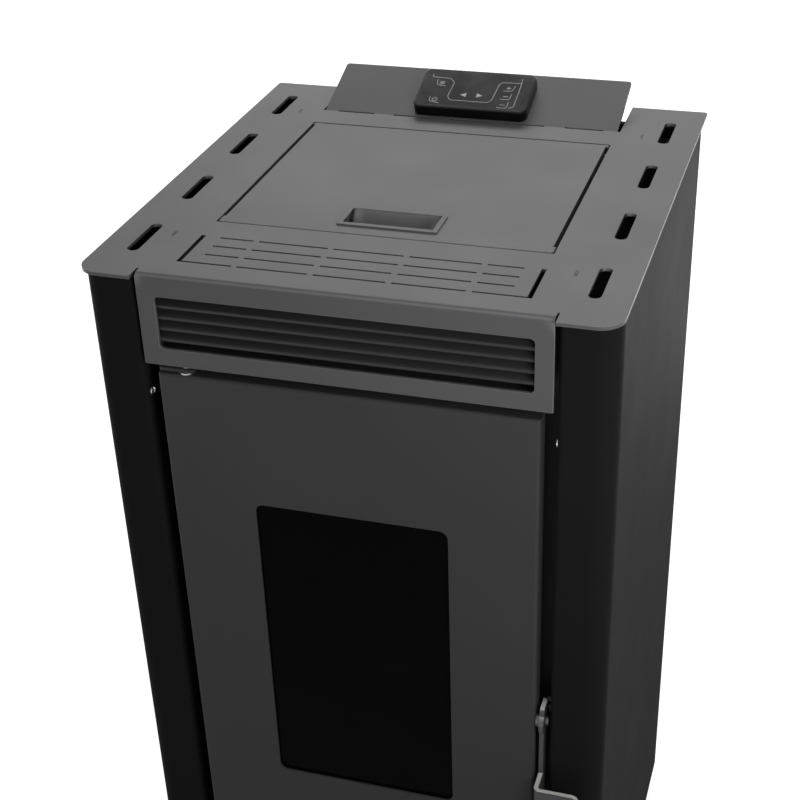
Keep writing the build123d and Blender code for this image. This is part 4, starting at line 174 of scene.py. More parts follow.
def powder_coat(name, colour, rough, specular, peel=0.25, edge=0.7, dust_and_highlight=None, wear_and_highlight=(0.2, 0.4, 1.9),
                rims=False):
    """Satin powder coat: orange peel, faint mottling, marks in the gloss, scuffed edges with a painted
    highlight, and painted shade in slits.

    Edge is the softened edges' radius in millimetres. Wear and highlight are the least and most cover of
    the edges' lighter tone, scuffing and painted highlight, and that tone, as a share of the colour. Dust
    and painted highlight lie
    on upward faces: cover on a level face, least cover and tone. With rims, a lying sheet is scuffed and
    highlighted on its cut faces alone, with painted highlight on its slots' far ends and front bend and
    painted shade on the slots' long walls."""
    least, most, pale = wear_and_highlight
    n = Finish(name)
    mottle = n.remap(n.noise(9.0, 4.0), 0.0, 1.0, 0.3, 0.7)
    speck = n.noise(2300.0, 1.0)
    paint = n.blend(mottle, tint(colour, 0.95), tint(colour, 1.05))
    paint = n.blend(n.remap(speck, 0.0, 0.22, 0.35, 0.75), paint, tint(colour, 1.35))

    # Worn, and lighter as a painted highlight, where the softened edge turns away from the face
    soft = n.soft_edges(edge * MM)
    geometry = n.add("ShaderNodeNewGeometry").outputs
    turned = n.vector("DOT_PRODUCT", soft, geometry["Normal"]).outputs["Value"]
    wear_and_highlight_mask = n.remap(turned, 1.0, 0.0, 0.80, 0.985)
    if rims:
        facing = n.split(geometry["True Normal"])
        around = n.openness(WIDE)
        upright = n.remap(n.maths("ABSOLUTE", facing["Z"], 0.0), 1.0, 0.0, 0.3, 0.9)
        outer = n.remap(around, 0.0, 1.0, SHUT, OPEN)
        wear_and_highlight_mask = n.maths("MULTIPLY", wear_and_highlight_mask, n.maths("MULTIPLY", upright, outer))

        # Painted highlight on the slots' far ends, and painted shade on their long walls
        in_slot = n.remap(around, 1.0, 0.0, 0.86, 0.97)
        to_front = n.remap(facing["Y"], 0.0, 1.0, -0.55, -0.95)
        lit = n.remap(n.openness(NARROW), 0.0, 0.75, SHUT, OPEN)
        far_end_highlight = n.maths("MULTIPLY", to_front, n.maths("MULTIPLY", in_slot, lit))
        wear_and_highlight_mask = n.maths("MAXIMUM", wear_and_highlight_mask, far_end_highlight)
        to_side = n.remap(n.maths("ABSOLUTE", facing["X"], 0.0), 0.0, 0.85, 0.55, 0.95)
        slot_wall_shade = n.maths("MULTIPLY", to_side, in_slot)

        # Painted highlight on the front bend where it faces up and forward at once
        rounded = n.split(soft)
        bend = n.maths("MULTIPLY", rounded["Z"], n.maths("MULTIPLY", rounded["Y"], -1.0))
        paint = n.blend(n.remap(bend, 0.0, 0.9, 0.40, 0.50), paint, tint(colour, BEND_HIGHLIGHT))
    patchy = n.remap(n.noise(60.0, 3.0), least, most, 0.35, 0.65)
    paint = n.blend(n.maths("MULTIPLY", wear_and_highlight_mask, patchy), paint, tint(colour, pale))
    # Painted shade on the slots' long walls
    if rims:
        paint = n.blend(slot_wall_shade, paint, tint(colour, SLOT_WALL_SHADE))
    # Painted shade in slits and corners
    free_of_painted_shade = n.remap(n.openness(NARROW), 0.0, 1.0, 0.38, 0.84)
    paint = n.blend(free_of_painted_shade, tint(colour, SHADED), paint)
    # Dust, and painted highlight, on upward faces
    if dust_and_highlight:
        cover, bare, tone = dust_and_highlight
        lying = n.remap(n.split(geometry["Normal"])["Z"], 0.0, cover, 0.5, 1.0)
        dust_and_highlight_cover = n.maths("MULTIPLY", lying, n.remap(n.noise(35.0, 5.0, 0.65), bare, 1.0, 0.35, 0.75))
        paint = n.blend(dust_and_highlight_cover, paint, tint(DUST_AND_HIGHLIGHT, tone))
    n.put("Base Color", paint)
    marks = n.noise(16.0, 5.0, 0.6)
    n.put("Roughness", n.remap(marks, rough - 0.025, rough + 0.025, 0.3, 0.7))
    n.put("Specular IOR Level", specular)
    height = n.maths("ADD", n.noise(520.0, 2.0), n.maths("MULTIPLY", speck, 0.4))
    n.put("Normal", n.bump(height, peel, 0.05 * MM, soft))
    return n.material


def galvanised(name, colour, rough, spangle=120.0, dark_above=None):
    """Galvanised sheet: crystal spangle in tone and gloss, and darker above a height."""
    n = Finish(name)
    crystal = n.add("ShaderNodeSeparateColor", n.cells(spangle)["Color"]).outputs
    cloud = n.noise(14.0, 4.0)
    share = n.maths("ADD", n.maths("MULTIPLY", crystal[0], 0.6), n.maths("MULTIPLY", cloud, 0.4))
    sheet = n.blend(share, tint(colour, 0.90), tint(colour, 1.08))
    # Darker above the height, where the tabs stand in the top plate's slits
    if dark_above:
        painted = n.remap(n.split(n.place)["Z"], 0.0, 1.0, dark_above, dark_above + 1.0 * MM)
        sheet = n.blend(painted, sheet, tint(colour, 0.10))
    n.put("Base Color", sheet)
    n.put("Roughness", n.remap(crystal[1], rough - 0.07, rough + 0.10))
    n.put("Metallic", 0.6)
    n.put("Normal", n.bump(n.noise(900.0, 2.0), 0.2, 0.03 * MM, n.soft_edges(0.5 * MM)))
    return n.material


def brushed(name, colour, rough, grain=(30.0, 30.0, 1400.0), heat=None):
    """Plated or stainless steel with a fine drawn grain, and heat tint where it gets hot."""
    n = Finish(name)
    line = n.noise(1.0, 3.0, 0.6, n.stretched(grain))
    tone = n.blend(n.remap(line, 0.0, 1.0, 0.3, 0.7), tint(colour, 0.85), tint(colour, 1.08))
    if heat:
        patch = n.remap(n.noise(22.0, 4.0), 0.0, 0.75, 0.45, 0.65)
        tone = n.blend(patch, tone, heat)
    n.put("Base Color", tone)
    n.put("Roughness", n.remap(line, rough - 0.08, rough + 0.10, 0.3, 0.7))
    n.put("Metallic", 1.0)
    n.put("Normal", n.bump(line, 0.15, 0.02 * MM, n.soft_edges(0.3 * MM)))
    return n.material


def casting(name, colour, rough):
    """Sand-cast iron: pitted, matt and slightly rusty in patches."""
    n = Finish(name)
    grit = n.noise(700.0, 4.0, 0.7)
    pits = n.cells(420.0)["Distance"]
    soot = n.remap(n.noise(30.0, 5.0), 0.0, 1.0, 0.4, 0.65)
    iron = n.blend(soot, tint(colour, 1.25), tint(colour, 0.6))
    rust = n.remap(n.noise(48.0, 6.0, 0.7), 0.0, 0.35, 0.56, 0.72)
    n.put("Base Color", n.blend(rust, iron, RUST))
    n.put("Roughness", n.remap(grit, rough - 0.1, rough + 0.1, 0.3, 0.7))
    n.put("Specular IOR Level", 0.35)
    height = n.maths("ADD", grit, n.maths("MULTIPLY", pits, 0.7))
    n.put("Normal", n.bump(height, 0.6, 0.25 * MM, n.soft_edges(0.8 * MM)))
    return n.material


def moulded(name, colour, rough, specular=0.35, grain=900.0, strength=0.15):
    """Plastic or rubber moulding with a fine erosion texture."""
    n = Finish(name)
    cloud = n.noise(25.0, 3.0)
    n.put("Base Color", n.blend(cloud, tint(colour, 0.88), tint(colour, 1.12)))
    n.put("Roughness", n.remap(n.noise(40.0, 4.0), rough - 0.05, rough + 0.07, 0.3, 0.7))
    n.put("Specular IOR Level", specular)
    n.put("Normal", n.bump(n.noise(grain, 2.0), strength, 0.03 * MM, n.soft_edges(0.5 * MM)))
    return n.material


def smoked_glass(name):
    """Black ceramic glass with faint wiping marks in its gloss."""
    n = Finish(name)
    smear = n.noise(1.0, 5.0, 0.6, n.stretched((7.0, 7.0, 26.0)))
    n.put("Base Color", n.blend(smear, (0.0030, 0.0030, 0.0032), (0.0046, 0.0046, 0.0048)))
    n.put("Roughness", n.remap(smear, 0.05, 0.13, 0.3, 0.7))
    n.put("Specular IOR Level", 0.02)
    n.put("Alpha", 0.97)
    return n.material


def braided(name, colour):
    """Braided glass-fibre rope."""
    n = Finish(name)
    yarn = n.cells(430.0)["Distance"]
    # Darker between the yarns, where the bump sinks: painted shade in the weave's grooves
    n.put("Base Color", n.blend(n.remap(yarn, 0.0, 1.0, 0.1, 0.8), tint(colour, 1.15), tint(colour, 0.55)))
    n.put("Roughness", n.remap(yarn, 0.82, 0.95))
    n.put("Specular IOR Level", 0.15)
    n.put("Sheen Weight", 0.25)
    n.put("Normal", n.bump(n.maths("MULTIPLY", yarn, -1.0), 0.7, 0.4 * MM))
    return n.material


def circuit(name):
    """Solder-masked board with faint tracks under the lacquer."""
    n = Finish(name)
    track = n.cells(170.0, "DISTANCE_TO_EDGE")["Distance"]
    line = n.remap(track, 1.0, 0.0, 0.05, 0.08)
    n.put("Base Color", n.blend(line, (0.012, 0.075, 0.028), (0.03, 0.16, 0.06)))
    n.put("Roughness", n.remap(n.noise(60.0), 0.28, 0.42))
    n.put("Normal", n.bump(line, 0.2, 0.05 * MM))
    return n.material


finishes = {
    # Its pale edge tone is scuffing and painted highlight; its rims add painted highlight and painted shade
    "grey_casing": powder_coat("grey_casing", (0.145, 0.145, 0.149), 0.50, 0.13, wear_and_highlight=(0.75, 1.0, 4.2),
                               rims=True),
    "black_casing": powder_coat("black_casing", (0.0175, 0.0175, 0.018), 0.66, 0.015),
    "black_door": powder_coat("black_door", (0.058, 0.058, 0.060), 0.50, 0.14),
    "louvre_paint": powder_coat("louvre_paint", (0.040, 0.040, 0.042), 0.47, 0.18),
    # Its lighter edges and upward faces are scuffing, dust and painted highlight
    "handle_paint": powder_coat("handle_paint", (0.052, 0.052, 0.054), 0.38, 0.60, edge=0.5,
                                dust_and_highlight=(1.0, 0.8, 0.9), wear_and_highlight=(0.6, 0.9, 3.0)),
    "zinc_steel": galvanised("zinc_steel", (0.16, 0.163, 0.165), 0.52, dark_above=TABS_DARK_ABOVE),
    "bright_steel": brushed("bright_steel", (0.62, 0.62, 0.60), 0.26, FINE_GRAIN),
    "firebox_steel": powder_coat("firebox_steel", (0.020, 0.020, 0.020), 0.62, 0.25, peel=0.5,
                                 dust_and_highlight=(0.5, 0.2, 0.30)),
    "stainless": brushed("stainless", (0.52, 0.50, 0.47), 0.32, grain=(1400.0, 30.0, 30.0),
                         heat=(0.30, 0.24, 0.17)),
    "cast_liner": casting("cast_liner", (0.055, 0.052, 0.050), 0.75),
    "black_glass": smoked_glass("black_glass"),
    "display_case": moulded("display_case", (0.008, 0.008, 0.0085), 0.22, 0.15, grain=60.0, strength=0.015),
    "display_glass": moulded("display_glass", (0.026, 0.026, 0.027), 0.16, 0.18, grain=50.0,
                             strength=0.006),
    "rope_seal": braided("rope_seal", (0.30, 0.29, 0.27)),
    "rubber_seal": moulded("rubber_seal", (0.012, 0.012, 0.012), 0.70, 0.3),
    "fan_casing": galvanised("fan_casing", (0.40, 0.40, 0.39), 0.40, spangle=110.0),
    "fan_wheel": brushed("fan_wheel", (0.60, 0.60, 0.60), 0.30, grain=(30.0, 1200.0, 1200.0)),
    "motor": moulded("motor", (0.030, 0.030, 0.032), 0.50, grain=300.0, strength=0.35),
    "black_plastic": moulded("black_plastic", (0.012, 0.012, 0.012), 0.50),
    "board_green": circuit("board_green"),
}

blackened = brushed("blackened_steel", (0.085, 0.085, 0.085), 0.38, FINE_GRAIN)
dull = brushed("dull_steel", (0.30, 0.30, 0.30), 0.36, FINE_GRAIN)
own_finish = {
    "latch_pivot_bolt": blackened,
    "catch_pin": blackened,
    "lid_hinge_pins": blackened,
    "door_hinge_pins": dull,
}
for part in frame["record"]["subparts"]:
    data = frame["nodes"][part["node"]].data
    data.materials.clear()
    data.materials.append(own_finish.get(part["node"], finishes[part["material_slot"]]))


# ---------------------------------------------------------------- mesh helpers
def add_piece(name, mesh, body, slot, swaps=(), finish=None):
    """Piece from a bmesh, riding one body and standing for the nodes that it swaps.

    Its finish is its slot's, or its own where it has no slot."""
    bmesh.ops.recalc_face_normals(mesh, faces=mesh.faces)
    data = bpy.data.meshes.new(name)
    mesh.to_mesh(data)
    mesh.free()
    data.materials.append(finish or finishes[slot])
    thing = bpy.data.objects.new(name, data)
    bpy.context.scene.collection.objects.link(thing)
    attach(thing, body)
    if swaps:
        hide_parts(*swaps)
    return thing


def skin(mesh, rings, wrap=False):
    """Faces between closed rings of points: the last ring joins the first where it wraps, and otherwise
    both ends are closed."""
    made = [[mesh.verts.new(point) for point in ring] for ring in rings]
    pairs = list(zip(made, made[1:])) + ([(made[-1], made[0])] if wrap else [])
    for one, other in pairs:
        for i in range(len(one)):
            j = (i + 1) % len(one)
            mesh.faces.new((one[i], one[j], other[j], other[i]))
    if not wrap:
        mesh.faces.new(made[0])
        mesh.faces.new(made[-1])


def smooth(thing, angle):
    """Smooth shading with creases kept at edges sharper than the angle."""
    data = thing.data
    for face in data.polygons:
        face.use_smooth = True
    mesh = bmesh.new()
    mesh.from_mesh(data)
    for edge in mesh.edges:
        edge.smooth = len(edge.link_faces) != 2 or edge.calc_face_angle(0.0) < math.radians(angle)
    mesh.to_mesh(data)
    mesh.free()


def round_path(low, high, radius, step):
    """Points and outward directions round a rectangle with rounded corners, in its own plane."""
    corners = ((high[0] - radius, high[1] - radius, 0), (low[0] + radius, high[1] - radius, 1),
               (low[0] + radius, low[1] + radius, 2), (high[0] - radius, low[1] + radius, 3))
    path = []
    for index, (cx, cy, quarter) in enumerate(corners):
        turns = max(2, round(radius * math.pi / 2 / step))
        for k in range(turns + 1):
            a = (quarter + k / turns) * math.pi / 2
            path.append((cx + radius * math.cos(a), cy + radius * math.sin(a), math.cos(a), math.sin(a)))
        nx, ny, _ = corners[(index + 1) % 4]
        a = (quarter + 1) * math.pi / 2
        end = (nx + radius * math.cos(a), ny + radius * math.sin(a))
        start = path[-1][:2]
        run = math.hypot(end[0] - start[0], end[1] - start[1])
        count = max(1, round(run / step))
        for k in range(1, count):
            share = k / count
            path.append((start[0] + (end[0] - start[0]) * share, start[1] + (end[1] - start[1]) * share,
                         math.cos(a), math.sin(a)))
    return path


def swept(mesh, path, section, place):
    """Closed sweep: section(run so far) gives offsets outward and along the plane's normal."""
    rings = []
    travelled = 0.0
    for index, (x, y, dx, dy) in enumerate(path):
        if index:
            travelled += math.hypot(x - path[index - 1][0], y - path[index - 1][1])
        ring = []
        for out, up in section(travelled):
            ring.append(place(x + dx * out, y + dy * out, up))
        rings.append(ring)
    skin(mesh, rings, wrap=True)


# ---------------------------------------------------------------- door rope, glass tape and lid seal
ROPE_HALF = 4.9 * MM
ROPE_CORNER = 9.0 * MM
ROPE_STEP = 1.25 * MM
ROPE_RELIEF = 0.35 * MM
ROPE_LAY = 9.0 * MM  # length in which the strands' crossings come round again
ROPE_STRANDS = 6
ROPE_SIDES = 24
TAPE_HALF = 4.0 * MM
TAPE_CORNER = 5.0 * MM
TAPE_STEP = 1.6 * MM
TAPE_RELIEF = 0.12 * MM
TAPE_LAY = 3.2 * MM
TAPE_STRANDS = 6
TAPE_SIDES = 20
TAPE_SQUARE = 0.45  # 1 is an oval section, and less is squarer
SEAL_WIDTH = 8.0 * MM
SEAL_CORNER = 4.0 * MM
SEAL_STEP = 6.0 * MM
FOOT = 0.22  # shares of the seal's height
BULB_MIDDLE = 0.45
NECK_HALF = 0.62  # shares of its half width
BULB_HALF = 0.58
NECK_TOP = 1.25  # share of the foot's height
BULB_POINTS = 9
CREASE = 35.0  # degrees from which an edge stays sharp, as are the next three
ROUNDED_CREASE = 40.0
WELD_CREASE = 60.0
BRAID_CREASE = 80.0


def braid(travelled, across, deep, relief, lay, strands, sides, power=1.0):
    """Section of a braid: two sets of strands wind opposite ways and lift it where either lies on top."""
    ring = []
    for i in range(sides):
        a = 2 * math.pi * i / sides
        way = 2 * math.pi * travelled / lay
        right = math.cos(strands * a + way)
        left = math.cos(strands * a - way)
        lift = relief * (0.5 * max(right, left) - 0.5)
        c, s = math.cos(a), math.sin(a)
        out = math.copysign(abs(c) ** power, c) * (across + lift)
        up = math.copysign(abs(s) ** power, s) * (deep + lift)
        ring.append((out, up))
    return ring


def door_braid(name, node, box, half, corner, step, weave):
    """Braided seal in the upright plane of the door's solid that it stands for."""
    low, high = box
    middle = (low[1] + high[1]) / 2
    deep = (high[1] - low[1]) / 2
    mesh = bmesh.new()
    path = round_path((low[0] + half, low[2] + half), (high[0] - half, high[2] - half), corner, step)
    swept(mesh, path, lambda run: braid(run, half, deep, *weave), lambda x, z, up: (x, middle + up, z))
    smooth(add_piece(name, mesh, "door", "rope_seal", (node,)), BRAID_CREASE)


door_braid("door_rope", "door_gasket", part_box("door_gasket"), ROPE_HALF, ROPE_CORNER, ROPE_STEP,
           (ROPE_RELIEF, ROPE_LAY, ROPE_STRANDS, ROPE_SIDES))
door_braid("glass_tape", "glass_gasket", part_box("glass_gasket"), TAPE_HALF, TAPE_CORNER, TAPE_STEP,
           (TAPE_RELIEF, TAPE_LAY, TAPE_STRANDS, TAPE_SIDES, TAPE_SQUARE))

seal_low, seal_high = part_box("lid_gasket")


def seal_section(travelled):
    """Bulb seal, the same all along: a flat foot, a neck and a round bulb that the lid presses on."""
    height = seal_high[2] - seal_low[2]
    half = SEAL_WIDTH / 2
    foot = FOOT * height
    ring = [(-half, 0.0), (half, 0.0), (half, foot), (NECK_HALF * half, NECK_TOP * foot)]
    for k in range(BULB_POINTS):
        a = math.pi * (k / (BULB_POINTS - 1))
        ring.append((BULB_HALF * half * math.cos(a),
                     (BULB_MIDDLE + (1 - BULB_MIDDLE) * math.sin(a)) * height))
    ring += [(-NECK_HALF * half, NECK_TOP * foot), (-half, foot)]
    return ring


mesh = bmesh.new()
swept(mesh, round_path((seal_low[0] + SEAL_WIDTH / 2, seal_low[1] + SEAL_WIDTH / 2),
                       (seal_high[0] - SEAL_WIDTH / 2, seal_high[1] - SEAL_WIDTH / 2),
                       SEAL_CORNER, SEAL_STEP),
      seal_section, lambda x, y, up: (x, y, seal_low[2] + up))
smooth(add_piece("lid_seal", mesh, "stove", "rubber_seal", ("lid_gasket",)), CREASE)

# ---------------------------------------------------------------- casing screws
SCREW_R = 4.2 * MM
SCREW_RISE = 2.0 * MM
SHANK_R = 2.0 * MM
SHANK = 5.0 * MM
DOME_DROP = 0.55  # share of the rise that the head loses at its rim
RECESS_REACH = 0.62  # shares of the head's radius: the arms' length, half their width and their slope
RECESS_HALF = 0.16
RECESS_SLOPE = 0.05
RECESS_DEEP = 0.45  # share of the rise
RECESS_TAPER = 0.4  # share of its depth that the recess would lose as far out as the rim
RING_SPREAD = 0.85  # below 1, the rings of points crowd towards the rim
NUT_T = 2.0 * MM
NUT_CHAMFER = 0.3 * MM
NUT_CORNER = 0.94  # share of the nut's radius that the chamfer leaves
SHEET = 1.5 * MM  # the flange between a column screw's head and its nut


def pan_head(mesh, place, rings=11, sides=36):
    """Domed head with a cross recess, on its shank; place turns (across, along, up) into the frame."""
    made = []
    for k in range(rings + 1):
        r = SCREW_R * (k / rings) ** RING_SPREAD
        ring = []
        for i in range(sides):
            a = 2 * math.pi * i / sides
            u, w = r * math.cos(a), r * math.sin(a)
            rise = SCREW_RISE * (1 - DOME_DROP * (r / SCREW_R) ** 4)
            arm = min(abs(u), abs(w))
            reach = max(abs(u), abs(w))
            if reach < RECESS_REACH * SCREW_R:
                cut = min(1.0, max(0.0, (RECESS_HALF * SCREW_R - arm) / (RECESS_SLOPE * SCREW_R)))
                rise -= RECESS_DEEP * SCREW_RISE * cut * (1 - RECESS_TAPER * reach / SCREW_R)
            ring.append((u, w, rise))
        made.append(ring)
    tip = mesh.verts.new(place(0, 0, made[0][0][2]))
    rings_made = [[mesh.verts.new(place(*point)) for point in ring] for ring in made[1:]]
    rings_made.append([mesh.verts.new(place(u, w, 0.0)) for u, w, _ in made[-1]])
    shank = [(SHANK_R * math.cos(2 * math.pi * i / sides), SHANK_R * math.sin(2 * math.pi * i / sides))
             for i in range(sides)]
    rings_made.append([mesh.verts.new(place(u, w, 0.0)) for u, w in shank])
    rings_made.append([mesh.verts.new(place(u, w, -SHANK)) for u, w in shank])
    for i in range(sides):
        mesh.faces.new((tip, rings_made[0][i], rings_made[0][(i + 1) % sides]))
    for one, other in zip(rings_made, rings_made[1:]):
        for i in range(sides):
            j = (i + 1) % sides
            mesh.faces.new((one[i], one[j], other[j], other[i]))
    mesh.faces.new(rings_made[-1])


def hex_nut(mesh, place, base):
    """Nut on the shank with chamfered corners, from base downwards."""
    rings = []
    for down, share in ((0.0, NUT_CORNER), (NUT_CHAMFER, 1.0), (NUT_T - NUT_CHAMFER, 1.0),
                        (NUT_T, NUT_CORNER)):
        rings.append([place(share * SCREW_R * math.cos(math.pi * i / 3),
                            share * SCREW_R * math.sin(math.pi * i / 3), base - down) for i in range(6)])
    skin(mesh, rings)


COLUMN_X = 176.5 * MM
COLUMN_SCREW_Y = -213.0 * MM
COLUMN_SCREW_Z = (246.3 * MM, 745.0 * MM)
PANEL_OUT = 215.5 * MM
PANEL_SCREW_X = 205.0 * MM
PANEL_SCREWS = 4
PANEL_SCREW_LOW = 58.0 * MM
PANEL_SCREW_HIGH = 828.0 * MM

mesh = bmesh.new()
for side in (-1, 1):
    for z in COLUMN_SCREW_Z:
        def facing_door(u, w, up, side=side, z=z):
            return side * (COLUMN_X - up), COLUMN_SCREW_Y + u, z + w

        pan_head(mesh, facing_door)
        hex_nut(mesh, facing_door, -SHEET)
    for row in range(PANEL_SCREWS):
        z = PANEL_SCREW_LOW + (PANEL_SCREW_HIGH - PANEL_SCREW_LOW) * row / (PANEL_SCREWS - 1)

        def facing_back(u, w, up, side=side, z=z):
            return side * PANEL_SCREW_X + u, PANEL_OUT + up, z + w

        pan_head(mesh, facing_back)
smooth(add_piece("cross_head_screws", mesh, "stove", "bright_steel", ("casing_screws",)), ROUNDED_CREASE)

# ---------------------------------------------------------------- closing strip behind the top plate
STRIP_HALF = 205.0 * MM
STRIP_LOW = 843.0 * MM
STRIP_HIGH = 856.8 * MM
STRIP_FACE = 213.6 * MM
STRIP_FLANGE = 9.0 * MM
STRIP_T = 1.0 * MM
STRIP_BEND = ((0.0, 1.2), (0.5, 0.3), (1.4, 0.0))  # millimetres in and down, round the outer bend
STRIP_INNER_BEND = 0.4 * MM

mesh = bmesh.new()
under = STRIP_HIGH - STRIP_T
profile = [(0.0, STRIP_LOW)] + [(-inward * MM, STRIP_HIGH - down * MM) for inward, down in STRIP_BEND]
profile += [(-STRIP_FLANGE, STRIP_HIGH), (-STRIP_FLANGE, under), (-STRIP_T - STRIP_INNER_BEND, under),
            (-STRIP_T, under - STRIP_INNER_BEND), (-STRIP_T, STRIP_LOW)]
skin(mesh, [[(x, STRIP_FACE + y, z) for y, z in profile] for x in (-STRIP_HALF, STRIP_HALF)])
smooth(add_piece("rear_closing_strip", mesh, "stove", "black_casing"), ROUNDED_CREASE)

# ---------------------------------------------------------------- weld marks on the door's top edge
DOOR_EDGE_Y = -224.0 * MM
DOOR_EDGE_Z = 769.3 * MM
EDGE_IN = 0.75 * MM  # the bead's middle, in from both faces of the edge
WELD_R = 0.8 * MM
WELD_SIDES = 10
WELD_RUNS = ((-160, -141), (-10, -1), (138, 159))  # millimetres along X
WELD_RINGS = 2  # to a millimetre
WELD_LOW = 0.25  # shares of the radius: at the ends, what the middle gains, and the ripple on it
WELD_SWELL = 0.6
WELD_RIPPLE = 0.15
WELD_BEAT = 2.6  # radians of ripple from ring to ring
WELD_TAPER = 5  # either end swells over a fifth of the run

mesh = bmesh.new()
for start, end in WELD_RUNS:
    rings = []
    steps = (end - start) * WELD_RINGS
    for k in range(steps + 1):
        share = k / steps
        x = (start + (end - start) * share) * MM
        fade = min(1.0, WELD_TAPER * share, WELD_TAPER * (1 - share))
        swell = WELD_SWELL * math.sqrt(max(fade, 0.0))
        r = WELD_R * (WELD_LOW + swell + WELD_RIPPLE * math.sin(WELD_BEAT * k))
        rings.append([(x, DOOR_EDGE_Y + EDGE_IN + r * math.cos(2 * math.pi * i / WELD_SIDES),
                       DOOR_EDGE_Z - EDGE_IN + r * math.sin(2 * math.pi * i / WELD_SIDES))
                      for i in range(WELD_SIDES)])
    skin(mesh, rings)
smooth(add_piece("door_weld_marks", mesh, "door", "black_door"), WELD_CREASE)

# ---------------------------------------------------------------- print on the display film
CONTROL_Y = 174.0  # millimetres, as are the lengths below: the control plate's bend line
TOP_Z = 860.0
SLOPE = math.radians(19.0)
FILM_LIFT = 11.0  # the film's face above the plate
CASE_HALF = 57.5
CASE_START = 3.5  # from the bend line to the case
INK = 0.06  # the print's depth either side of the film's face
LINE = 0.7
CORNER = 2.6
CORNER_SHARE = 0.45  # most of a run that one turn may use


def on_film(x, v, lift):
    """Point in the object's frame, from millimetres in the display's plane from its left front corner."""
    along = CASE_START + v
    up = FILM_LIFT + lift
    return ((x - CASE_HALF) * MM, (CONTROL_Y + along * math.cos(SLOPE) - up * math.sin(SLOPE)) * MM,
            (TOP_Z + along * math.sin(SLOPE) + up * math.cos(SLOPE)) * MM)


def printed(mesh, outline):
    """Flat printed shape, just proud of the film."""
    skin(mesh, [[on_film(x, v, lift) for x, v in outline] for lift in (-INK, INK)])


def eased(points, radius, steps=5):
    """Open run of points whose inner corners turn on a curve."""
    run = [points[0]]
    for before, corner, after in zip(points, points[1:], points[2:]):
        ends = []
        for other in (before, after):
            length = math.dist(corner, other)
            share = min(radius, CORNER_SHARE * length) / length
            ends.append((corner[0] + (other[0] - corner[0]) * share,
                         corner[1] + (other[1] - corner[1]) * share))
        for k in range(steps + 1):
            t = k / steps
            run.append(tuple((1 - t) ** 2 * a + 2 * t * (1 - t) * b + t * t * c
                             for a, b, c in zip(ends[0], corner, ends[1])))
    run.append(points[-1])
    return run


def line(mesh, points, width=LINE):
    """Printed line of even width along a run of points."""
    left, right = [], []
    for index, (x, v) in enumerate(points):
        before = points[max(index - 1, 0)]
        after = points[min(index + 1, len(points) - 1)]
        dx, dv = after[0] - before[0], after[1] - before[1]
        length = math.hypot(dx, dv)
        nx, nv = -dv / length * width / 2, dx / length * width / 2
        left.append((x + nx, v + nv))
        right.append((x - nx, v - nv))
    rows = [[on_film(*a, -INK), on_film(*b, -INK), on_film(*b, INK), on_film(*a, INK)]
            for a, b in zip(left, right)]
    skin(mesh, rows)


def disc(centre, radius, sides=14):
    """Outline of a small round dot."""
    return [(centre[0] + radius * math.cos(2 * math.pi * i / sides),
             centre[1] + radius * math.sin(2 * math.pi * i / sides)) for i in range(sides)]


# Across and up the display's face, from its left front corner
MIDDLE_LINE = [(9.7, 51.7), (9.6, 47.0), (28.4, 46.4), (33.9, 40.3), (32.1, 17.8), (35.8, 12.7),
               (74.2, 12.4), (77.5, 16.5), (79.7, 41.4), (82.0, 45.1), (101.0, 45.3)]
SIDE_LINE = [(101.1, 52.3), (101.6, 45.3), (101.6, 25.3), (101.4, 8.3), (96.9, 6.0)]
KEY_BRACKETS = [[(16.0, 43.7), (16.7, 35.2), (26.3, 33.9)], [(14.8, 16.5), (15.3, 8.9), (25.5, 7.0)],
                [(85.7, 32.1), (94.9, 32.5), (96.3, 41.1)], [(85.3, 19.0), (94.6, 19.0), (95.4, 27.9)],
                [(84.8, 5.8), (94.7, 5.9), (94.8, 15.5)]]
MENU = (21.7, 38.7)
MENU_HALF = 2.5
MENU_PITCH = 1.7
MENU_LINE = 0.85
POWER = (20.3, 12.3)
POWER_R = 2.5
POWER_LINE = 0.75
POWER_BAR = (0.6, 3.6)
ARC_START = math.radians(125)
ARC_SWEEP = math.radians(290)
ARC_STEPS = 20
ARROWS = (((47.3, 22.0), -1), ((63.9, 22.2), 1))
ARROW_TIP = 3.4
ARROW_BACK = 3.1
ARROW_HALF = 3.2
PLUS = (90.4, 36.8)
MINUS = (90.0, 23.6)
ARM = 2.4
BAR = 0.5
DOTS = (89.6, 10.5)
DOT_PITCH = 1.9
DOT_R = 0.62

mesh = bmesh.new()
for run in [MIDDLE_LINE, SIDE_LINE] + KEY_BRACKETS:
    line(mesh, eased(run, CORNER))
for row in (-MENU_PITCH, 0.0, MENU_PITCH):
    line(mesh, [(MENU[0] - MENU_HALF, MENU[1] + row), (MENU[0] + MENU_HALF, MENU[1] + row)], MENU_LINE)
arc = [ARC_START + ARC_SWEEP * k / ARC_STEPS for k in range(ARC_STEPS + 1)]
line(mesh, [(POWER[0] + POWER_R * math.cos(a), POWER[1] + POWER_R * math.sin(a)) for a in arc], POWER_LINE)
line(mesh, [(POWER[0], POWER[1] + v) for v in POWER_BAR], POWER_LINE)
for (x, v), way in ARROWS:
    printed(mesh, [(x + way * ARROW_TIP, v), (x - way * ARROW_BACK, v + ARROW_HALF),
                   (x - way * ARROW_BACK, v - ARROW_HALF)])
printed(mesh, [(PLUS[0] + u, PLUS[1] + w) for u, w in (
    (BAR, BAR), (BAR, ARM), (-BAR, ARM), (-BAR, BAR), (-ARM, BAR), (-ARM, -BAR), (-BAR, -BAR), (-BAR, -ARM),
    (BAR, -ARM), (BAR, -BAR), (ARM, -BAR), (ARM, BAR))])
line(mesh, [(MINUS[0] - ARM, MINUS[1]), (MINUS[0] + ARM, MINUS[1])], 2 * BAR)
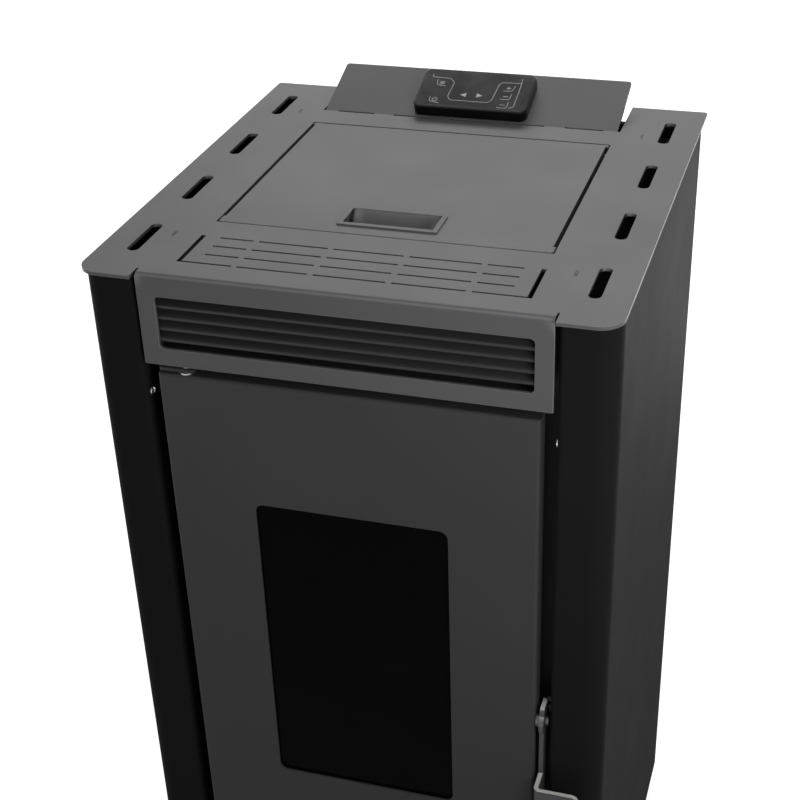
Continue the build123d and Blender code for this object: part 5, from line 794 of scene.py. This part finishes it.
for step in (-DOT_PITCH, 0.0, DOT_PITCH):
    printed(mesh, disc((DOTS[0] + step, DOTS[1]), DOT_R))
ink = moulded("display_ink", (0.62, 0.62, 0.63), 0.50, specular=0.2, grain=700.0, strength=0.05)
add_piece("display_print", mesh, "stove", None, finish=ink)


# ---------------------------------------------------------------- stage
FLOOR_HALF = 9.0  # metres, as are the distances below
FLOOR_TONE = 0.78
FLOOR_GLOW = 0.80
SHADE_CENTRE = (0.0, -0.35, 0.0)  # the painted shadow in the mirrored glow lies towards the front
SHADE_NEAR = 1.50
SHADE_FAR = 1.90
SHADE_LOW = 0.45  # share of the glow that the object mirrors up to SHADE_NEAR, a painted shadow
SHADE_HIGH = 4.5  # and from SHADE_FAR, a painted reflection
CLEAR_NEAR = 1.1  # the camera sees the glow grow from here
CLEAR_FAR = 2.8  # to full white here
SKY_SEEN = 1.0
SKY_ON_OBJECT = 0.11


def seen_white(tree, camera, gloss):
    """Strength for rays from the camera, from mirrors and through glass, and none for light."""
    path = tree.add("ShaderNodeLightPath").outputs
    viewed = tree.maths("MULTIPLY", path["Is Camera Ray"], camera)
    mirrored = tree.maths("MULTIPLY", path["Is Glossy Ray"], gloss)
    seen = tree.maths("MAXIMUM", viewed, mirrored)
    return tree.maths("MAXIMUM", seen, path["Is Transmission Ray"])


def stage_material(name, tone):
    """Plain pale surface that the camera and glass see as white.

    Mirrored in the object, its glow is a painted shadow near the object and a painted reflection, brighter
    than the floor, further out."""
    material = bpy.data.materials.new(name)
    stage = Tree(material)
    place = stage.add("ShaderNodeTexCoord").outputs["Object"]
    away = stage.vector("SUBTRACT", place, SHADE_CENTRE).outputs[0]
    distance = stage.vector("LENGTH", away).outputs["Value"]
    clear = stage.remap(distance, 1.0, 1.0 / FLOOR_GLOW, CLEAR_NEAR, CLEAR_FAR)
    shade = stage.remap(distance, SHADE_LOW, SHADE_HIGH, SHADE_NEAR, SHADE_FAR)
    strength = stage.maths("MULTIPLY", seen_white(stage, clear, shade), FLOOR_GLOW)
    glow = stage.add("ShaderNodeEmission", Strength=strength)
    diffuse = stage.add("ShaderNodeBsdfDiffuse", (tone, tone, tone, 1.0))
    both = stage.add("ShaderNodeAddShader", glow.outputs[0], diffuse.outputs[0])
    stage.add("ShaderNodeOutputMaterial", both.outputs[0])
    return material


floor_mesh = bpy.data.meshes.new("floor")
floor_mesh.from_pydata([(-FLOOR_HALF, -FLOOR_HALF, 0), (FLOOR_HALF, -FLOOR_HALF, 0),
                        (FLOOR_HALF, FLOOR_HALF, 0), (-FLOOR_HALF, FLOOR_HALF, 0)], [], [(0, 1, 2, 3)])
floor = bpy.data.objects.new("floor", floor_mesh)
bpy.context.scene.collection.objects.link(floor)
floor_mesh.materials.append(stage_material("pale_floor", FLOOR_TONE))

world = bpy.data.worlds.new("studio")
bpy.context.scene.world = world
studio = Tree(world)
level = studio.remap(seen_white(studio, 1.0, 1.0), SKY_ON_OBJECT, SKY_SEEN)
sky = studio.add("ShaderNodeBackground", (1.0, 1.0, 1.0, 1.0), level)
studio.add("ShaderNodeOutputWorld", sky.outputs[0])


def softbox(name, place, aim, width, height, power):
    """Soft rectangular lamp at a place, turned to shine at another."""
    lamp = bpy.data.lights.new(name, "AREA")
    lamp.shape = "RECTANGLE"
    lamp.size = width
    lamp.size_y = height
    lamp.energy = power
    box = bpy.data.objects.new(name, lamp)
    bpy.context.scene.collection.objects.link(box)
    box.location = place
    box.rotation_mode = "QUATERNION"
    box.rotation_quaternion = (Vector(aim) - Vector(place)).to_track_quat("-Z", "Y")


# Places and sizes in metres, power in watts
softbox("back_softbox", (-0.3, 2.3, 2.55), (0, 0, 0.8), 2.2, 1.0, 41)
softbox("top_softbox", (0.2, -0.2, 3.2), (0, 0, 0.8), 1.6, 1.6, 8)
softbox("front_right", (0.61, -0.75, 1.00), (0.13, -0.22, 0.78), 0.4, 0.4, 2.75)
softbox("front_left", (-1.9, -2.4, 1.5), (0, 0, 0.5), 1.4, 1.4, 1.2)

# ---------------------------------------------------------------- camera
IMAGE = 800  # pixels, both ways
SENSOR = 36.0  # millimetres
FOCAL = 1550.16  # pixels
SHIFT_UP = 0.0625
CAMERA_PLACE = (0.38287, -1.24553, 1.39246)
CAMERA_TURN = (0.865372, 0.478467, 0.085844, 0.121781)

camera_data = bpy.data.cameras.new("camera")
camera = bpy.data.objects.new("camera", camera_data)
bpy.context.scene.collection.objects.link(camera)
camera_data.sensor_width = SENSOR
camera_data.lens = FOCAL / IMAGE * SENSOR
camera_data.shift_y = SHIFT_UP
camera_data.dof.use_dof = False
camera.location = CAMERA_PLACE
camera.rotation_mode = "QUATERNION"
camera.rotation_quaternion = CAMERA_TURN
bpy.context.scene.camera = camera
bpy.context.scene.view_settings.view_transform = "Standard"
